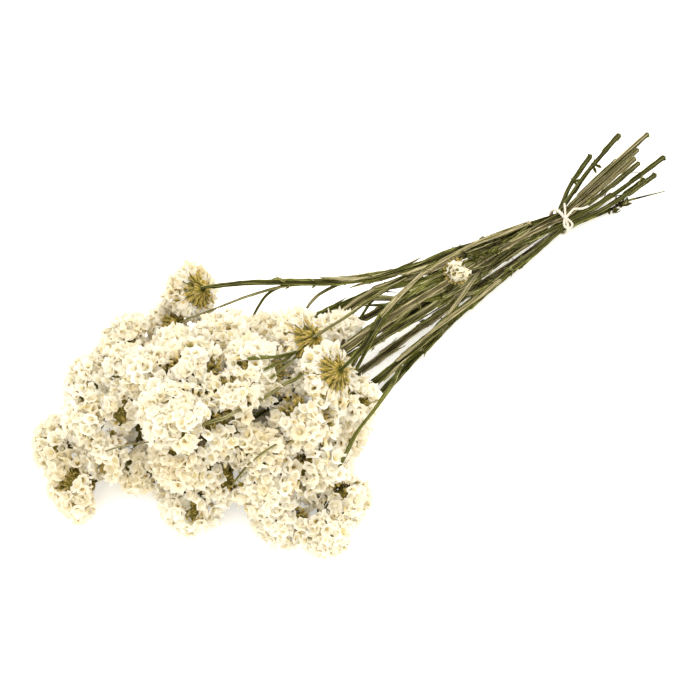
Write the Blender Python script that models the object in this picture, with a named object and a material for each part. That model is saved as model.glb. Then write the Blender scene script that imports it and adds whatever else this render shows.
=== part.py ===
"""A tied bunch of dried white statice, lying on a surface.

Winged green stems run from their cut ends through a string tie, fork, and end in dense heads of
papery calyces. The plan is worked out in millimetres, and the meshes are made in metres.
X runs along the bunch, from the heads to the cut ends, and Z is up from the surface.
"""

import math

import bmesh
import bpy
import numpy as np

MM = 0.001
UP = np.array([0.0, 0.0, 1.0])

# Middle of the bunch's outline as it lies, which becomes the origin.
MIDDLE = np.array([27.9, -23.3, 0.0])
# Clear space between two pieces that touch on the real bunch.
GAP = 0.3

# The string tie and the bundle of stems inside it.
TIE_X = 232.0
TIE_HEIGHT = 13.4
SLOT_RADIUS = 2.54
STEM_RADIUS_AT_TIE = 2.4
INNER_SLOTS = 3
OUTER_SLOTS = 10
STRING_RADIUS = 1.0
TIE_INNER_RADIUS = 10.9
TIE_SIDES = 14
KNOT_ANGLE = math.radians(120.0)
KNOT_RADIUS = 2.3
STRING_END_RADIUS = 0.85
# The bow loop and the two tails from the knot: steps along the stems, round the tie and out from it.
STRING_ENDS = (
    ("loop", ((0, 0, 0), (1, 3, 2), (1, 8, 4), (-3, 10, 4), (-6, 7, 3), (-4, 3, 1), (0, 0, -0.3))),
    ("long_tail", ((0, 0, 0), (6, -2, 2), (12, -3, 1.2), (18, 0, 2.4), (25, 1, 2.6))),
    ("short_tail", ((0, 0, 0), (3, -6, 1.2), (7, -12, -0.5))),
)

# Stems: the wings' reach from the stem's middle line, at the tie, half way and below the head.
WING_MIDDLE = 4.1
WING_TIP = 1.7
# The reach at the cut end, behind and in the tie, past it, half way, at the forks and at the head.
WING_REACHES = (3.1, STEM_RADIUS_AT_TIE, STEM_RADIUS_AT_TIE, 3.4, WING_MIDDLE, 3.0, WING_TIP)
BRANCH_START = 1.9
BRANCH_TIP = 1.2
WING_VALLEY = 0.52
BRANCH_VALLEY = 0.70
WING_TWIST = math.radians(9.0)
CURVE_STATIONS = 3
HANDLE_SHARE = 0.36
LONGEST_HANDLE = 60.0
BRANCH_STATIONS = 3
# A branch leaves its stem about this far before its head, every other one further back.
FORK_DISTANCES = (68.0, 118.0)
NECK_LENGTH = 12.0
# Leafy teeth: the points of the main line that carry one, and the ways and lengths to try.
BLADE_STATIONS = (5, 9)
BLADE_LENGTHS = (16.0, 12.0)
BLADE_TURNS = (0.0, 0.9, -0.9, 1.8, -1.8, 2.7, -2.7)
BLADE_WIDTH = 3.6
BLADE_BELLY = 0.42
BLADE_THICKNESS = 0.9
BLADE_FOOT = 0.12
BLADE_SPREAD = 0.55
# How far each stem's cut end reaches past the tie, and how the ends spread, lean and rise there.
TAIL_LENGTHS = (96, 66, 90, 70, 80, 84, 64, 94, 104, 112, 88, 108, 113)
TAIL_SPREAD = 2.1
TAIL_LEAN = 9.0
TAIL_FAN = 1.5
TAIL_RISE = 13.0
TAIL_WANDER = 5.0
# The stems run straight for this far on both sides of the tie's middle.
TIE_STRAIGHT = 6.0

# Heads: half width, half depth and height over the middle, as shares of the head's size.
HEAD_HALF_WIDTH = 0.56
HEAD_HALF_DEPTH = 0.49
HEAD_HEIGHT = 0.43
HEAD_DEPTH = 0.40
HEAD_BASE = 0.15
HEAD_CORE = 0.57
BRACT_RADIUS = 0.24
BRACT_POINTS = 5
BRACT_NOTCH = 0.55
MOUTH_SHARE = 0.80
THROAT_DEPTH = 0.56
LOWEST_FLORET = -0.35
# A head that lies on the surface is pressed flat there: its middle is this share of its size up.
HEAD_ON_SURFACE = 0.36
PRESSED_REACH = 1.15
# Number of cells on a small, a middling and a large head.
HEAD_CELLS = ((40.0, 15), (48.0, 18), (99.0, 21))
# Heads press into each other down to this share of their widths.
HEAD_CROWDING = 0.80
# The rims of the calyces reach this much past the size that a head is listed with.
HEAD_SWELL = 1.07
# How much of a press two heads yield at a time, and of the way back to where they were placed.
HEAD_YIELD = 0.2
HEAD_RETURN = 0.03

# The middle of the heap of heads, and how far it reaches along X, Y and Z.
HEAP_MIDDLE = np.array([-140.0, -25.0, 35.0])
HEAP_REACH = np.array([130.0, 120.0, 60.0])
# A head faces away from the tie, out of the heap and up, in these shares.
FACING_AWAY = 0.5
FACING_OUT = 0.9
FACING_UP = 0.55

# Each head: its stem, its middle along X, Y and Z, and its size. A stem's first head is the one
# that its main line runs to. A few heads hang over, and have the way they face after their size.
HEADS = (
    (0, -105, 88, 60, 46, (-0.45, 0.55, -0.70)),
    (0, -127, 82, 48, 36, (-0.45, 0.55, -0.70)),
    (0, -110, 27, 70, 48),
    (0, -92, 50, 15, 40),
    (1, -218, 59, 45, 48),
    (1, -171, 83, 50, 46),
    (1, -186, 57, 62, 36),
    (1, -150, 72, 15, 42),
    (2, -261, 47, 22, 42),
    (2, -229, 39, 48, 42),
    (2, -208, 22, 62, 36),
    (3, -267, 8, 17, 48),
    (3, -235, 9, 44, 38),
    (3, -216, -12, 28, 40),
    (4, -201, 14, 36, 36),
    (4, -178, 20, 80, 48),
    (4, -150, 39, 70, 40),
    (4, -160, 20, 26, 44),
    (5, -185, -27, 88, 54),
    (5, -153, 0, 92, 46),
    (5, -138, -34, 90, 40),
    (6, -201, -62, 16, 46),
    (6, -193, -41, 60, 46),
    (6, -174, -64, 38, 40),
    (6, -158, -19, 14, 44),
    (7, -154, -52, 75, 40),
    (7, -145, -69, 68, 36),
    (7, -127, -76, 50, 36),
    (8, -75, 16, 60, 42),
    (8, -60, -18, 80, 48, (-0.46, 0.46, -0.76)),
    (8, -19, -13, 60, 32),
    (9, -67, -62, 85, 48, (-0.46, 0.46, -0.76)),
    (9, -49, -78, 55, 36),
    (9, -65, -84, 34, 38),
    (10, -107, -104, 35, 48),
    (10, -98, -75, 70, 46),
    (10, -97, -38, 40, 38),
    (11, -124, -144, 14, 38),
    (11, -147, -114, 14, 40),
    (11, -140, -89, 40, 44),
    (11, -97, -125, 14, 40),
    (12, -117, -28, 90, 50),
    (12, -120, -12, 30, 44),
    (12, 92, -27, 73, 22, (-0.45, -0.35, 0.80)),
)
STEM_COUNT = INNER_SLOTS + OUTER_SLOTS

# Where each stem's main line passes, half way from the tie to its first head.
WAYPOINTS = (
    (28, 10, 69),
    (24, 2, 60),
    (40, -4, 40),
    (43, -10, 24),
    (28, -18, 54),
    (37, -22, 66),
    (39, -28, 20),
    (30, -36, 48),
    (24, -6, 70),
    (30, -26, 76),
    (40, -52, 40),
    (60, -44, 12),
    (50, -18, 58),
)

RANDOM_SEED = 41
HEAD_STEPS = 90
# Bending the stems clear: the steps, a stem's stiffness, and how near a head's skin it may pass.
SETTLING_STEPS = 300
STEM_STIFFNESS = 0.10
SKIN_SHARE = 0.86
CUP_ROOM = 0.8
SURFACE_GAP = 0.2
# A stretch's far end moves little: the least sum of squared shares, and the least share that counts.
LEAST_SQUARES = 0.08
LEAST_SHARE = 0.02
NARROWING_ROUNDS = 30
# Stems that pass a head within this share of its size get a plane of their own.
STEM_NEAR_SHARE = 0.7
# Heads, cups and stems whose middles are further apart than this never touch.
NEIGHBOUR_SPAN = 90.0
# A bract cup with no room shrinks by this much at a time, down to the smallest share.
CUP_STEP = 0.88
SMALLEST_CUP = 0.15
# No corner of a head is drawn nearer to its middle than this.
SMALLEST_REACH = 1.2


def unit(vectors):
    """Scale each vector to length one."""
    return vectors / np.maximum(np.linalg.norm(vectors, axis=-1, keepdims=True), 1e-9)


def across(direction, near=UP):
    """Give two unit vectors square to the direction and to each other, the second one near to near."""
    direction = unit(direction)
    side = np.cross(near, direction)
    if np.linalg.norm(side) < 0.1:
        side = np.cross(np.array([0.0, 1.0, 0.0]), direction)
    side = unit(side)
    return side, np.cross(direction, side)


def head_reach(axes, sizes, directions):
    """Give how far each bun-shaped head reaches from its middle along a direction.

    The bun is two half ellipsoids on one outline. Its reach is the ellipsoid's support distance:
    the root of the sum of the squares of each half axis times the direction's share of it.
    """
    shares = np.einsum("...ij,...j->...i", axes, directions)
    height = np.where(shares[..., 2] > 0, HEAD_HEIGHT, HEAD_BASE)
    halves = np.stack(
        [np.full_like(height, HEAD_HALF_WIDTH), np.full_like(height, HEAD_HALF_DEPTH), height], -1
    )
    return sizes * np.linalg.norm(shares * halves, axis=-1)


def plan_heads():
    """Place the heads: their middles, sizes, own axes and the stem that carries each."""
    middles = np.array([row[1:4] for row in HEADS], float)
    sizes = HEAD_SWELL * np.array([row[4] for row in HEADS], float)
    stems = np.array([row[0] for row in HEADS])
    away = middles - np.array([TIE_X, 0.0, 0.0])
    away[:, 2] = 0.0
    facing = FACING_AWAY * unit(away) + FACING_OUT * (middles - HEAP_MIDDLE) / HEAP_REACH + FACING_UP * UP
    for row, head in enumerate(HEADS):
        if len(head) > 5:
            facing[row] = head[5]
    facing = unit(facing)
    axes = np.array([[*across(way), way] for way in facing])

    drawn = middles.copy()
    for _ in range(HEAD_STEPS):
        offsets = middles[None, :] - middles[:, None]
        spans = np.linalg.norm(offsets, axis=-1)
        ways = unit(offsets)
        mine = head_reach(axes[:, None], sizes[:, None], ways)
        room = HEAD_CROWDING * (mine + mine.T)
        press = np.clip(room - spans, 0.0, None)
        np.fill_diagonal(press, 0.0)
        middles -= HEAD_YIELD * (press[..., None] * ways).sum(axis=1)
        middles += HEAD_RETURN * (drawn - middles)
        middles[:, 2] = np.maximum(middles[:, 2], HEAD_ON_SURFACE * sizes)
    return middles, sizes, axes, stems


def plan_slots(targets):
    """Give each stem its place in the tie, so that the stems cross as little as they can.

    The places are a ring of three inside a ring of ten, all touching. The stems start in any
    order, and two of them change places whenever that shortens the ways to their heads.
    """
    inner = SLOT_RADIUS / math.sin(math.pi / INNER_SLOTS)
    outer = SLOT_RADIUS / math.sin(math.pi / OUTER_SLOTS)
    rings = [(inner, 2 * math.pi * k / INNER_SLOTS + 0.5) for k in range(INNER_SLOTS)]
    rings += [(outer, 2 * math.pi * k / OUTER_SLOTS) for k in range(OUTER_SLOTS)]
    places = np.array([[r * math.cos(a), r * math.sin(a)] for r, a in rings])
    wanted = (targets - targets.mean(axis=0)) / np.abs(targets - targets.mean(axis=0)).max(axis=0)
    cost = np.linalg.norm(wanted[:, None] * outer - places[None, :], axis=-1) ** 2
    order = np.arange(len(places))
    changed = True
    while changed:
        changed = False
        for a in range(len(order)):
            for b in range(a):
                now = cost[a, order[a]] + cost[b, order[b]]
                if cost[a, order[b]] + cost[b, order[a]] < now - 1e-9:
                    order[[a, b]] = order[[b, a]]
                    changed = True
    return places[order]


def bezier(start, start_way, end_way, end, shares):
    """Give points of a cubic curve that leaves start along start_way and meets end along end_way."""
    t = np.asarray(shares)[:, None]
    handle = min(HANDLE_SHARE * np.linalg.norm(end - start), LONGEST_HANDLE)
    first = start + unit(start_way) * handle
    second = end - unit(end_way) * handle
    return (
        (1 - t) ** 3 * start
        + 3 * (1 - t) ** 2 * t * first
        + 3 * (1 - t) * t**2 * second
        + t**3 * end
    )


def plan_stems(middles, sizes, axes, stems):
    """Draw the middle line of each stem and branch as a row of points with a radius at each.

    Returns the points, their radii, which of them may move, the rows of point numbers, the stem
    and head of each row, and for each branch the two stem points and the share where it starts.
    """
    random = np.random.default_rng(RANDOM_SEED)
    ways = axes[:, 2]
    bases = middles - ways * (HEAD_BASE * sizes + GAP)[:, None]
    necks = bases - ways * NECK_LENGTH
    leaders = np.array([np.flatnonzero(stems == k)[0] for k in range(STEM_COUNT)])
    slots = plan_slots(bases[leaders][:, 1:])

    points, radii, free, rows, owners, forks = [], [], [], [], [], []
    for stem, leader in enumerate(leaders):
        side, lift = slots[stem]
        tie = np.array([TIE_X, side, TIE_HEIGHT + lift])
        spread = TAIL_SPREAD * side + TAIL_LEAN + random.uniform(-TAIL_WANDER, TAIL_WANDER)
        cut = tie + np.array([TAIL_LENGTHS[stem], spread, TAIL_FAN * lift + TAIL_RISE])
        bow = 0.5 * (tie + cut) + np.array([0.0, 0.3 * side, -2.0])
        target = necks[leader]
        past, before = tie + [TIE_STRAIGHT, 0, 0], tie - [TIE_STRAIGHT, 0, 0]
        pass_by = np.array(WAYPOINTS[stem], float)
        leave = 0.6 * unit(pass_by - tie) + np.array([-0.4, 0.01 * side, 0.01 * lift])
        through = unit(pass_by - tie) + unit(target - pass_by)
        arrive = 0.5 * ways[leader] + 0.6 * unit(target - pass_by)
        shares = np.arange(1, CURVE_STATIONS + 1) / (CURVE_STATIONS + 1)
        first = bezier(before, leave, through, pass_by, shares)
        second = bezier(pass_by, through, arrive, target, shares)
        line = np.vstack([cut, bow, past, before, first, pass_by, second, target, bases[leader]])
        width = np.interp(np.arange(len(line)), [0, 1, 3, 5, 8, 10, len(line) - 2], WING_REACHES)
        start = sum(len(p) for p in points)
        points.append(line)
        radii.append(width)
        free.append(np.array([1, 1, 0, 0] + [1] * (2 * CURVE_STATIONS + 1) + [0, 0], bool))
        main = np.arange(start, start + len(line))
        rows.append(main)
        owners.append((stem, leader))
        forks.append(None)

        for head in np.flatnonzero(stems == stem)[1:]:
            spans = np.linalg.norm(line - necks[head], axis=1)
            nearest = max(int(np.argmin(spans)), 4)
            wanted = max(FORK_DISTANCES[len(rows) % 2], 1.25 * spans[nearest])
            at = nearest
            while at > 4 and spans[at] < wanted:
                at -= 1
            share = 0.0
            if spans[at] > wanted and at < nearest:
                share = (spans[at] - wanted) / (spans[at] - spans[at + 1])
            share = min(max(share, 0.1), 0.9)
            root = line[at] * (1 - share) + line[at + 1] * share
            along = unit(line[at + 1] - line[at])
            arrive = 0.6 * ways[head] + 0.5 * unit(necks[head] - root)
            inner = np.arange(1, BRANCH_STATIONS + 1) / (BRANCH_STATIONS + 1)
            curve = bezier(root, along, arrive, necks[head], inner)
            twig = np.vstack([root, curve, necks[head], bases[head]])
            start = sum(len(p) for p in points)
            points.append(twig)
            radii.append(np.linspace(BRANCH_START, BRANCH_TIP, len(twig)))
            free.append(np.array([0] + [1] * BRANCH_STATIONS + [0, 0], bool))
            rows.append(np.arange(start, start + len(twig)))
            owners.append((stem, head))
            forks.append((main[at], main[at + 1], share))
    return np.vstack(points), np.concatenate(radii), np.concatenate(free), rows, owners, forks


def nearest_shares(p, q, r, s):
    """Give where segments p to q and r to s come nearest, as shares of their lengths."""
    one, two, between = q - p, s - r, p - r
    a, e, f = (one * one).sum(-1), (two * two).sum(-1), (two * between).sum(-1)
    c, b = (one * between).sum(-1), (one * two).sum(-1)
    first = np.clip((b * f - c * e) / np.maximum(a * e - b * b, 1e-6), 0, 1)
    second = np.clip((b * first + f) / e, 0, 1)
    first = np.clip((b * second - c) / a, 0, 1)
    second = np.clip((b * first + f) / e, 0, 1)
    return first, second


def segments_of(rows, owners):
    """List every straight stretch as two point numbers, with its stem and its head."""
    starts = np.concatenate([row[:-1] for row in rows])
    ends = np.concatenate([row[1:] for row in rows])
    stem = np.concatenate([np.full(len(r) - 1, o[0]) for r, o in zip(rows, owners)])
    head = np.concatenate([np.full(len(r) - 1, o[1]) for r, o in zip(rows, owners)])
    last = np.concatenate([np.arange(len(r) - 1) >= len(r) - 3 for r in rows])
    return starts, ends, stem, head, last


def push_apart(push, count, free, ends, shares, moves):
    """Share out the moves of points on stretches to the stretches' two ends, the nearer end more."""
    weights = [(1 - shares) * free[ends[0]], shares * free[ends[1]]]
    total = np.maximum(weights[0] ** 2 + weights[1] ** 2, LEAST_SQUARES)
    for end, weight in zip(ends, weights):
        np.add.at(push, end, moves * (weight / total)[:, None])
        np.add.at(count, end, (weight > LEAST_SHARE).astype(float))


def settle_stems(points, radii, free, rows, owners, forks, heads):
    """Bend the stems clear of each other, of the heads and of the surface, a little at a time."""
    middles, sizes, axes, _ = heads
    starts, ends, stem, head, last = segments_of(rows, owners)
    one, two = np.triu_indices(len(starts), 1)
    apart = stem[one] != stem[two]
    one, two = one[apart], two[apart]
    own = (head[:, None] == np.arange(len(middles))[None, :]) & last[:, None]
    rest = np.zeros_like(points)
    inside = np.concatenate([row[1:-1] for row in rows])
    rest[inside] = 0.5 * (points[inside - 1] + points[inside + 1]) - points[inside]
    wide = radii.copy()
    for row, (_, carried) in zip(rows, owners):
        wide[row[-1]] = CUP_ROOM * BRACT_RADIUS * sizes[carried]
    for _ in range(SETTLING_STEPS):
        push = np.zeros_like(points)
        count = np.zeros(len(points))

        s, t = nearest_shares(points[starts[one]], points[ends[one]], points[starts[two]], points[ends[two]])
        here = points[starts[one]] * (1 - s)[:, None] + points[ends[one]] * s[:, None]
        there = points[starts[two]] * (1 - t)[:, None] + points[ends[two]] * t[:, None]
        room = wide[starts[one]] * (1 - s) + wide[ends[one]] * s
        room = room + wide[starts[two]] * (1 - t) + wide[ends[two]] * t + 2 * GAP
        offset = here - there
        span = np.linalg.norm(offset, axis=1)
        close = span < room
        move = 0.5 * (room - span)[close, None] * unit(offset[close])
        for side, share, sign in ((one[close], s[close], 1.0), (two[close], t[close], -1.0)):
            push_apart(push, count, free, (starts[side], ends[side]), share, sign * move)

        p, q = points[starts][:, None], points[ends][:, None]
        along = q - p
        share = ((middles[None] - p) * along).sum(-1) / (along * along).sum(-1)
        share = np.clip(share, 0, 1)
        offset = p + along * share[..., None] - middles[None]
        span = np.linalg.norm(offset, axis=-1)
        reach = head_reach(axes[None], sizes[None], unit(offset))
        room = SKIN_SHARE * reach + radii[starts][:, None] * (1 - share) + radii[ends][:, None] * share
        close = (span < room) & ~own
        side = np.nonzero(close)[0]
        move = (0.5 * (room - span))[close][:, None] * unit(offset[close])
        push_apart(push, count, free, (starts[side], ends[side]), share[close], move)

        points = points + np.where(free[:, None], push / np.maximum(count, 1.0)[:, None], 0.0)
        bend = np.zeros_like(points)
        bend[inside] = 0.5 * (points[inside - 1] + points[inside + 1]) - points[inside] - rest[inside]
        points += np.where(free[:, None], STEM_STIFFNESS * bend, 0.0)
        points[:, 2] = np.maximum(points[:, 2], radii + SURFACE_GAP)
        for row, fork in zip(rows, forks):
            if fork is not None:
                points[row[0]] = points[fork[0]] * (1 - fork[2]) + points[fork[1]] * fork[2]
    return points


def slim_stems(points, radii, rows, owners):
    """Narrow the wings where two stems pass closer than their full widths."""
    starts, ends, stem, _, _ = segments_of(rows, owners)
    one, two = np.triu_indices(len(starts), 1)
    apart = stem[one] != stem[two]
    one, two = one[apart], two[apart]
    s, t = nearest_shares(points[starts[one]], points[ends[one]], points[starts[two]], points[ends[two]])
    here = points[starts[one]] * (1 - s)[:, None] + points[ends[one]] * s[:, None]
    there = points[starts[two]] * (1 - t)[:, None] + points[ends[two]] * t[:, None]
    span = np.linalg.norm(here - there, axis=1)
    radii = radii.copy()
    for _ in range(NARROWING_ROUNDS):
        mine = radii[starts[one]] * (1 - s) + radii[ends[one]] * s
        other = radii[starts[two]] * (1 - t) + radii[ends[two]] * t
        ratio = (span - GAP) / (mine + other)
        tight = ratio < 1.0
        if not tight.any():
            break
        for side in (one, two):
            for end in (starts, ends):
                np.minimum.at(radii, end[side[tight]], radii[end[side[tight]]] * ratio[tight])
    print(f"narrowest wing {radii.min():.2f} mm")
    return radii


def bract_star(heads, head, share):
    """Give the bract cup under a head: its star-shaped flat top, and the point it grows from."""
    middles, sizes, axes, _ = heads
    side, up, way = axes[head]
    top = middles[head] - way * (HEAD_BASE * sizes[head] + GAP)
    corners = []
    for k in range(2 * BRACT_POINTS):
        reach = share * BRACT_RADIUS * sizes[head] * (1.0 if k % 2 == 0 else BRACT_NOTCH)
        angle = math.pi * k / BRACT_POINTS
        corners.append(top + reach * (math.cos(angle) * side + math.sin(angle) * up))
    return np.array(corners + [top - way * (NECK_LENGTH - 1.0)])


def widest_gap(corners, others, reach):
    """Give the clear width between two point sets across the best of many flat planes.

    The planes are square to the lines from the first set's points to the others, and to the
    stretch between each two of the others that follow each other. Others have a reach round each.
    """
    start, end = others[:-1, None], others[1:, None]
    along = end - start
    share = ((corners[None] - start) * along).sum(-1) / np.maximum((along * along).sum(-1), 1e-9)
    near = start + along * np.clip(share, 0, 1)[..., None]
    tries = np.vstack([(near - corners[None]).reshape(-1, 3), others.mean(axis=0) - corners.mean(axis=0)])
    tries = unit(tries)
    mine = (tries @ corners.T).max(axis=1)
    theirs = (tries @ others.T - reach[None]).min(axis=1)
    return float((theirs - mine).max())


def fit_bracts(heads, points, radii, rows, owners):
    """Give the share of its full width that each bract cup has room for among the stems."""
    middles, _, _, stems = heads
    starts, ends, stem, _, _ = segments_of(rows, owners)
    shares = np.ones(len(middles))
    for head in range(len(middles)):
        spans = np.linalg.norm(0.5 * (points[starts] + points[ends]) - middles[head], axis=1)
        near = spans < NEIGHBOUR_SPAN
        for k in np.flatnonzero(near & (stem != stems[head])):
            line = points[[starts[k], ends[k]]]
            reach = radii[[starts[k], ends[k]]]
            while shares[head] > SMALLEST_CUP:
                if widest_gap(bract_star(heads, head, shares[head]), line, reach) > GAP:
                    break
                shares[head] *= CUP_STEP
        for other in range(head):
            span = np.linalg.norm(middles[other] - middles[head])
            if stems[other] == stems[head] or span > NEIGHBOUR_SPAN:
                continue
            theirs = bract_star(heads, other, shares[other])
            while shares[head] > SMALLEST_CUP:
                if widest_gap(bract_star(heads, head, shares[head]), theirs, np.zeros(len(theirs))) > GAP:
                    break
                shares[head] *= CUP_STEP
    return shares


def head_limits(heads, points, radii, rows, owners, bracts):
    """Give the flat planes that keep each head clear of its neighbours, the stems and the surface.

    Each plane is a unit direction and a distance from the head's middle. A head whose every corner
    is short of its planes clears what stands beyond them, because that lies wholly on the far side.
    """
    middles, sizes, axes, _ = heads
    starts, ends, _, head_of, last = segments_of(rows, owners)
    stars = [bract_star(heads, k, bracts[k]) for k in range(len(middles))]
    limits = []
    for k, middle in enumerate(middles):
        planes = [(-UP, middle[2]), (-axes[k, 2], HEAD_BASE * sizes[k])]
        offsets = middles - middle
        spans = np.linalg.norm(offsets, axis=1)
        for other in np.flatnonzero((spans > 0) & (spans < NEIGHBOUR_SPAN)):
            way = offsets[other] / spans[other]
            mine = head_reach(axes[k], sizes[k], way)
            theirs = head_reach(axes[other], sizes[other], -way)
            planes.append((way, spans[other] * mine / (mine + theirs) - 0.5 * GAP))
            corners = stars[other] - middle
            tries = unit(np.vstack([corners, corners.mean(axis=0), corners[:-1].mean(axis=0)]))
            tries = np.vstack([tries, -axes[other, 2], axes[other, 2], unit(tries[-1] - axes[other, 2])])
            depths = (tries @ corners.T).min(axis=1) - GAP
            best = int(np.argmax(depths))
            planes.append((tries[best], depths[best]))
        p, q = points[starts] - middle, points[ends] - middle
        along = q - p
        share = np.clip(-(p * along).sum(-1) / (along * along).sum(-1), 0, 1)
        near = p + along * share[:, None]
        way = unit(near)
        depth = np.minimum((p * way).sum(-1) - radii[starts], (q * way).sum(-1) - radii[ends]) - GAP
        keep = (depth < STEM_NEAR_SHARE * sizes[k]) & ~((head_of == k) & last)
        planes += list(zip(way[keep], depth[keep]))
        limits.append((np.array([p[0] for p in planes]), np.array([p[1] for p in planes])))
    return limits


def spread_cells(count):
    """Spread directions evenly over a ball, and give each its cell's corners in order around it.

    The directions run down a spiral of equal turns, with one more at the foot. Their convex hull's
    triangles face the corners, so each direction's corners are those of the triangles that meet there.
    """
    turn = math.pi * (3.0 - math.sqrt(5.0))
    heights = 1.0 - (np.arange(count - 1) + 0.5) * 2.0 / count
    angles = turn * np.arange(count - 1)
    flat = np.sqrt(1.0 - heights**2)
    ways = np.column_stack([flat * np.cos(angles), flat * np.sin(angles), heights])
    ways = np.vstack([ways, [0.0, 0.0, -1.0]])
    hull = bmesh.new()
    for way in ways:
        hull.verts.new(way)
    hull.verts.index_update()
    bmesh.ops.convex_hull(hull, input=hull.verts)
    bmesh.ops.triangulate(hull, faces=hull.faces)
    hull.faces.index_update()
    hull.faces.ensure_lookup_table()
    corners = []
    for face in hull.faces:
        a, b, c = (np.array(v.co) for v in face.verts)
        normal = np.cross(b - a, c - a)
        corners.append(unit(normal * np.sign(normal @ a)))
    cells = []
    for index, vert in enumerate(hull.verts):
        ring = [face.index for face in vert.link_faces]
        side, up = across(ways[index])
        ring.sort(key=lambda f: math.atan2(corners[f] @ up, corners[f] @ side))
        cells.append(ring)
    hull.free()
    return ways, np.array(corners), cells


def bun_radius(ways):
    """Give the distance from the middle to the bun's skin along each direction, for a head of size one."""
    height = np.where(ways[:, 2] > 0, HEAD_HEIGHT, HEAD_DEPTH)
    parts = [ways[:, 0] / HEAD_HALF_WIDTH, ways[:, 1] / HEAD_HALF_DEPTH, ways[:, 2] / height]
    return 1.0 / np.sqrt(sum(part**2 for part in parts))


def head_mesh(name, middle, size, axes, limits, cells, random):
    """Raise a funnel from each cell of a small core, as wide at its mouth as its cell allows.

    Every corner lies on its own ray from the middle, so the skin can't cross itself. A corner that
    would pass one of the head's limits is drawn back along its ray to it. A funnel that the head's
    weight presses on the surface is flat, with no throat.
    """
    ways, corners, rings = cells
    spin = random.uniform(0, 2 * math.pi)
    turn = np.array([[math.cos(spin), -math.sin(spin), 0], [math.sin(spin), math.cos(spin), 0], [0, 0, 1]])
    ways, corners = ways @ turn.T, corners @ turn.T
    rays = list(corners)
    reach = list(HEAD_CORE * bun_radius(corners))
    faces = []
    for way, ring in zip(ways, rings):
        if way[2] < LOWEST_FLORET:
            faces += [(ring[0], ring[k], ring[k + 1]) for k in range(1, len(ring) - 1)]
            continue
        height = random.uniform(0.86, 1.06)
        frill = random.uniform(0.88, 1.07, len(ring))
        depth = THROAT_DEPTH
        skin = float(bun_radius(way[None])[0])
        if size * skin * -(way @ axes[:, 2]) > middle[2]:
            height, frill, depth = PRESSED_REACH, np.ones(len(ring)), 1.0
        rim = unit(way + (corners[ring] - way) * MOUTH_SHARE)
        start = len(rays)
        rays += list(rim) + [way]
        reach += list(bun_radius(rim) * height * frill)
        reach.append(skin * height * depth)
        throat = len(rays) - 1
        for k in range(len(ring)):
            after = (k + 1) % len(ring)
            faces.append((ring[k], ring[after], start + after))
            faces.append((ring[k], start + after, start + k))
            faces.append((start + k, start + after, throat))
    rays = np.array(rays) @ axes
    reach = size * np.array(reach)
    planes, depths = limits
    slope = rays @ planes.T
    stop = np.maximum(depths, SMALLEST_REACH) / np.maximum(slope, 1e-6)
    reach = np.minimum(reach, stop.min(axis=1))
    return new_mesh(name, middle + rays * reach[:, None], faces)


def new_mesh(name, points, faces):
    """Make a mesh from points in millimetres about the bunch's own frame, none below the surface."""
    points = np.array(points, float) - MIDDLE
    points[:, 2] = np.maximum(points[:, 2], 0.0)
    mesh = bpy.data.meshes.new(name)
    mesh.from_pydata((points * MM).tolist(), [], [tuple(int(i) for i in face) for face in faces])
    mesh.update()
    return mesh


def carried_frames(line, lean):
    """Carry a pair of cross directions along a line, turned as little as each bend needs."""
    tangents = unit(np.gradient(line, axis=0))
    sides, ups = [], []
    side = lean
    for tangent in tangents:
        side = unit(side - tangent * (side @ tangent))
        sides.append(side)
        ups.append(np.cross(tangent, side))
    return np.array(sides), np.array(ups)


def sweep(name, line, outline, lean=UP, closed=False):
    """Carry an outline, given in order round each point of the line, along it, and close the ends."""
    sides, ups = carried_frames(line, lean)
    rings = line[:, None] + outline[..., :1] * sides[:, None] + outline[..., 1:] * ups[:, None]
    count, around = outline.shape[:2]
    faces = []
    last = count if closed else count - 1
    for k in range(last):
        after = (k + 1) % count
        for j in range(around):
            beside = (j + 1) % around
            a, b = k * around + j, k * around + beside
            c, d = after * around + beside, after * around + j
            faces += [(a, b, c), (a, c, d)]
    points = rings.reshape(-1, 3)
    if not closed:
        base = (count - 1) * around
        faces += [(0, j + 1, j) for j in range(1, around - 1)]
        faces += [(base, base + j, base + j + 1) for j in range(1, around - 1)]
    return new_mesh(name, points, faces)


def wing_outline(radii, wings, valley, twist):
    """Give a star-shaped section for each radius: wing tips at full reach, valleys between them."""
    corners = np.arange(2 * wings)
    reach = np.where(corners % 2 == 0, 1.0, valley)
    angles = math.pi * corners[None] / wings + twist[:, None]
    circle = np.stack([np.cos(angles), np.sin(angles)], -1)
    return circle * (radii[:, None] * reach[None])[..., None]


def star_mesh(name, star):
    """Make the bract cup: a flat star with its sides drawn down to one point in the stem."""
    foot = len(star) - 1
    faces = [(k, (k + 1) % foot, foot + 1) for k in range(foot)]
    faces += [((k + 1) % foot, k, foot) for k in range(foot)]
    return new_mesh(name, np.vstack([star, star[:-1].mean(axis=0)]), faces)


def blade_mesh(name, root, way, length, width, flat):
    """Make a small leafy tooth: a flat spindle from its root in the stem to its tip."""
    side = unit(np.cross(way, flat)) * width / 2
    thick = flat * BLADE_THICKNESS / 2
    belly = root + way * length * BLADE_BELLY
    points = [root, root + way * length]
    points += [belly + side, belly + thick, belly - side, belly - thick]
    faces = []
    for k in range(4):
        here, after = 2 + k, 2 + (k + 1) % 4
        faces += [(0, after, here), (1, here, after)]
    return new_mesh(name, points, faces)


def face_outward(mesh):
    """Turn the faces of a closed mesh to point out of it."""
    shell = bmesh.new()
    shell.from_mesh(mesh)
    bmesh.ops.recalc_face_normals(shell, faces=shell.faces)
    shell.to_mesh(mesh)
    shell.free()
    return mesh


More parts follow.
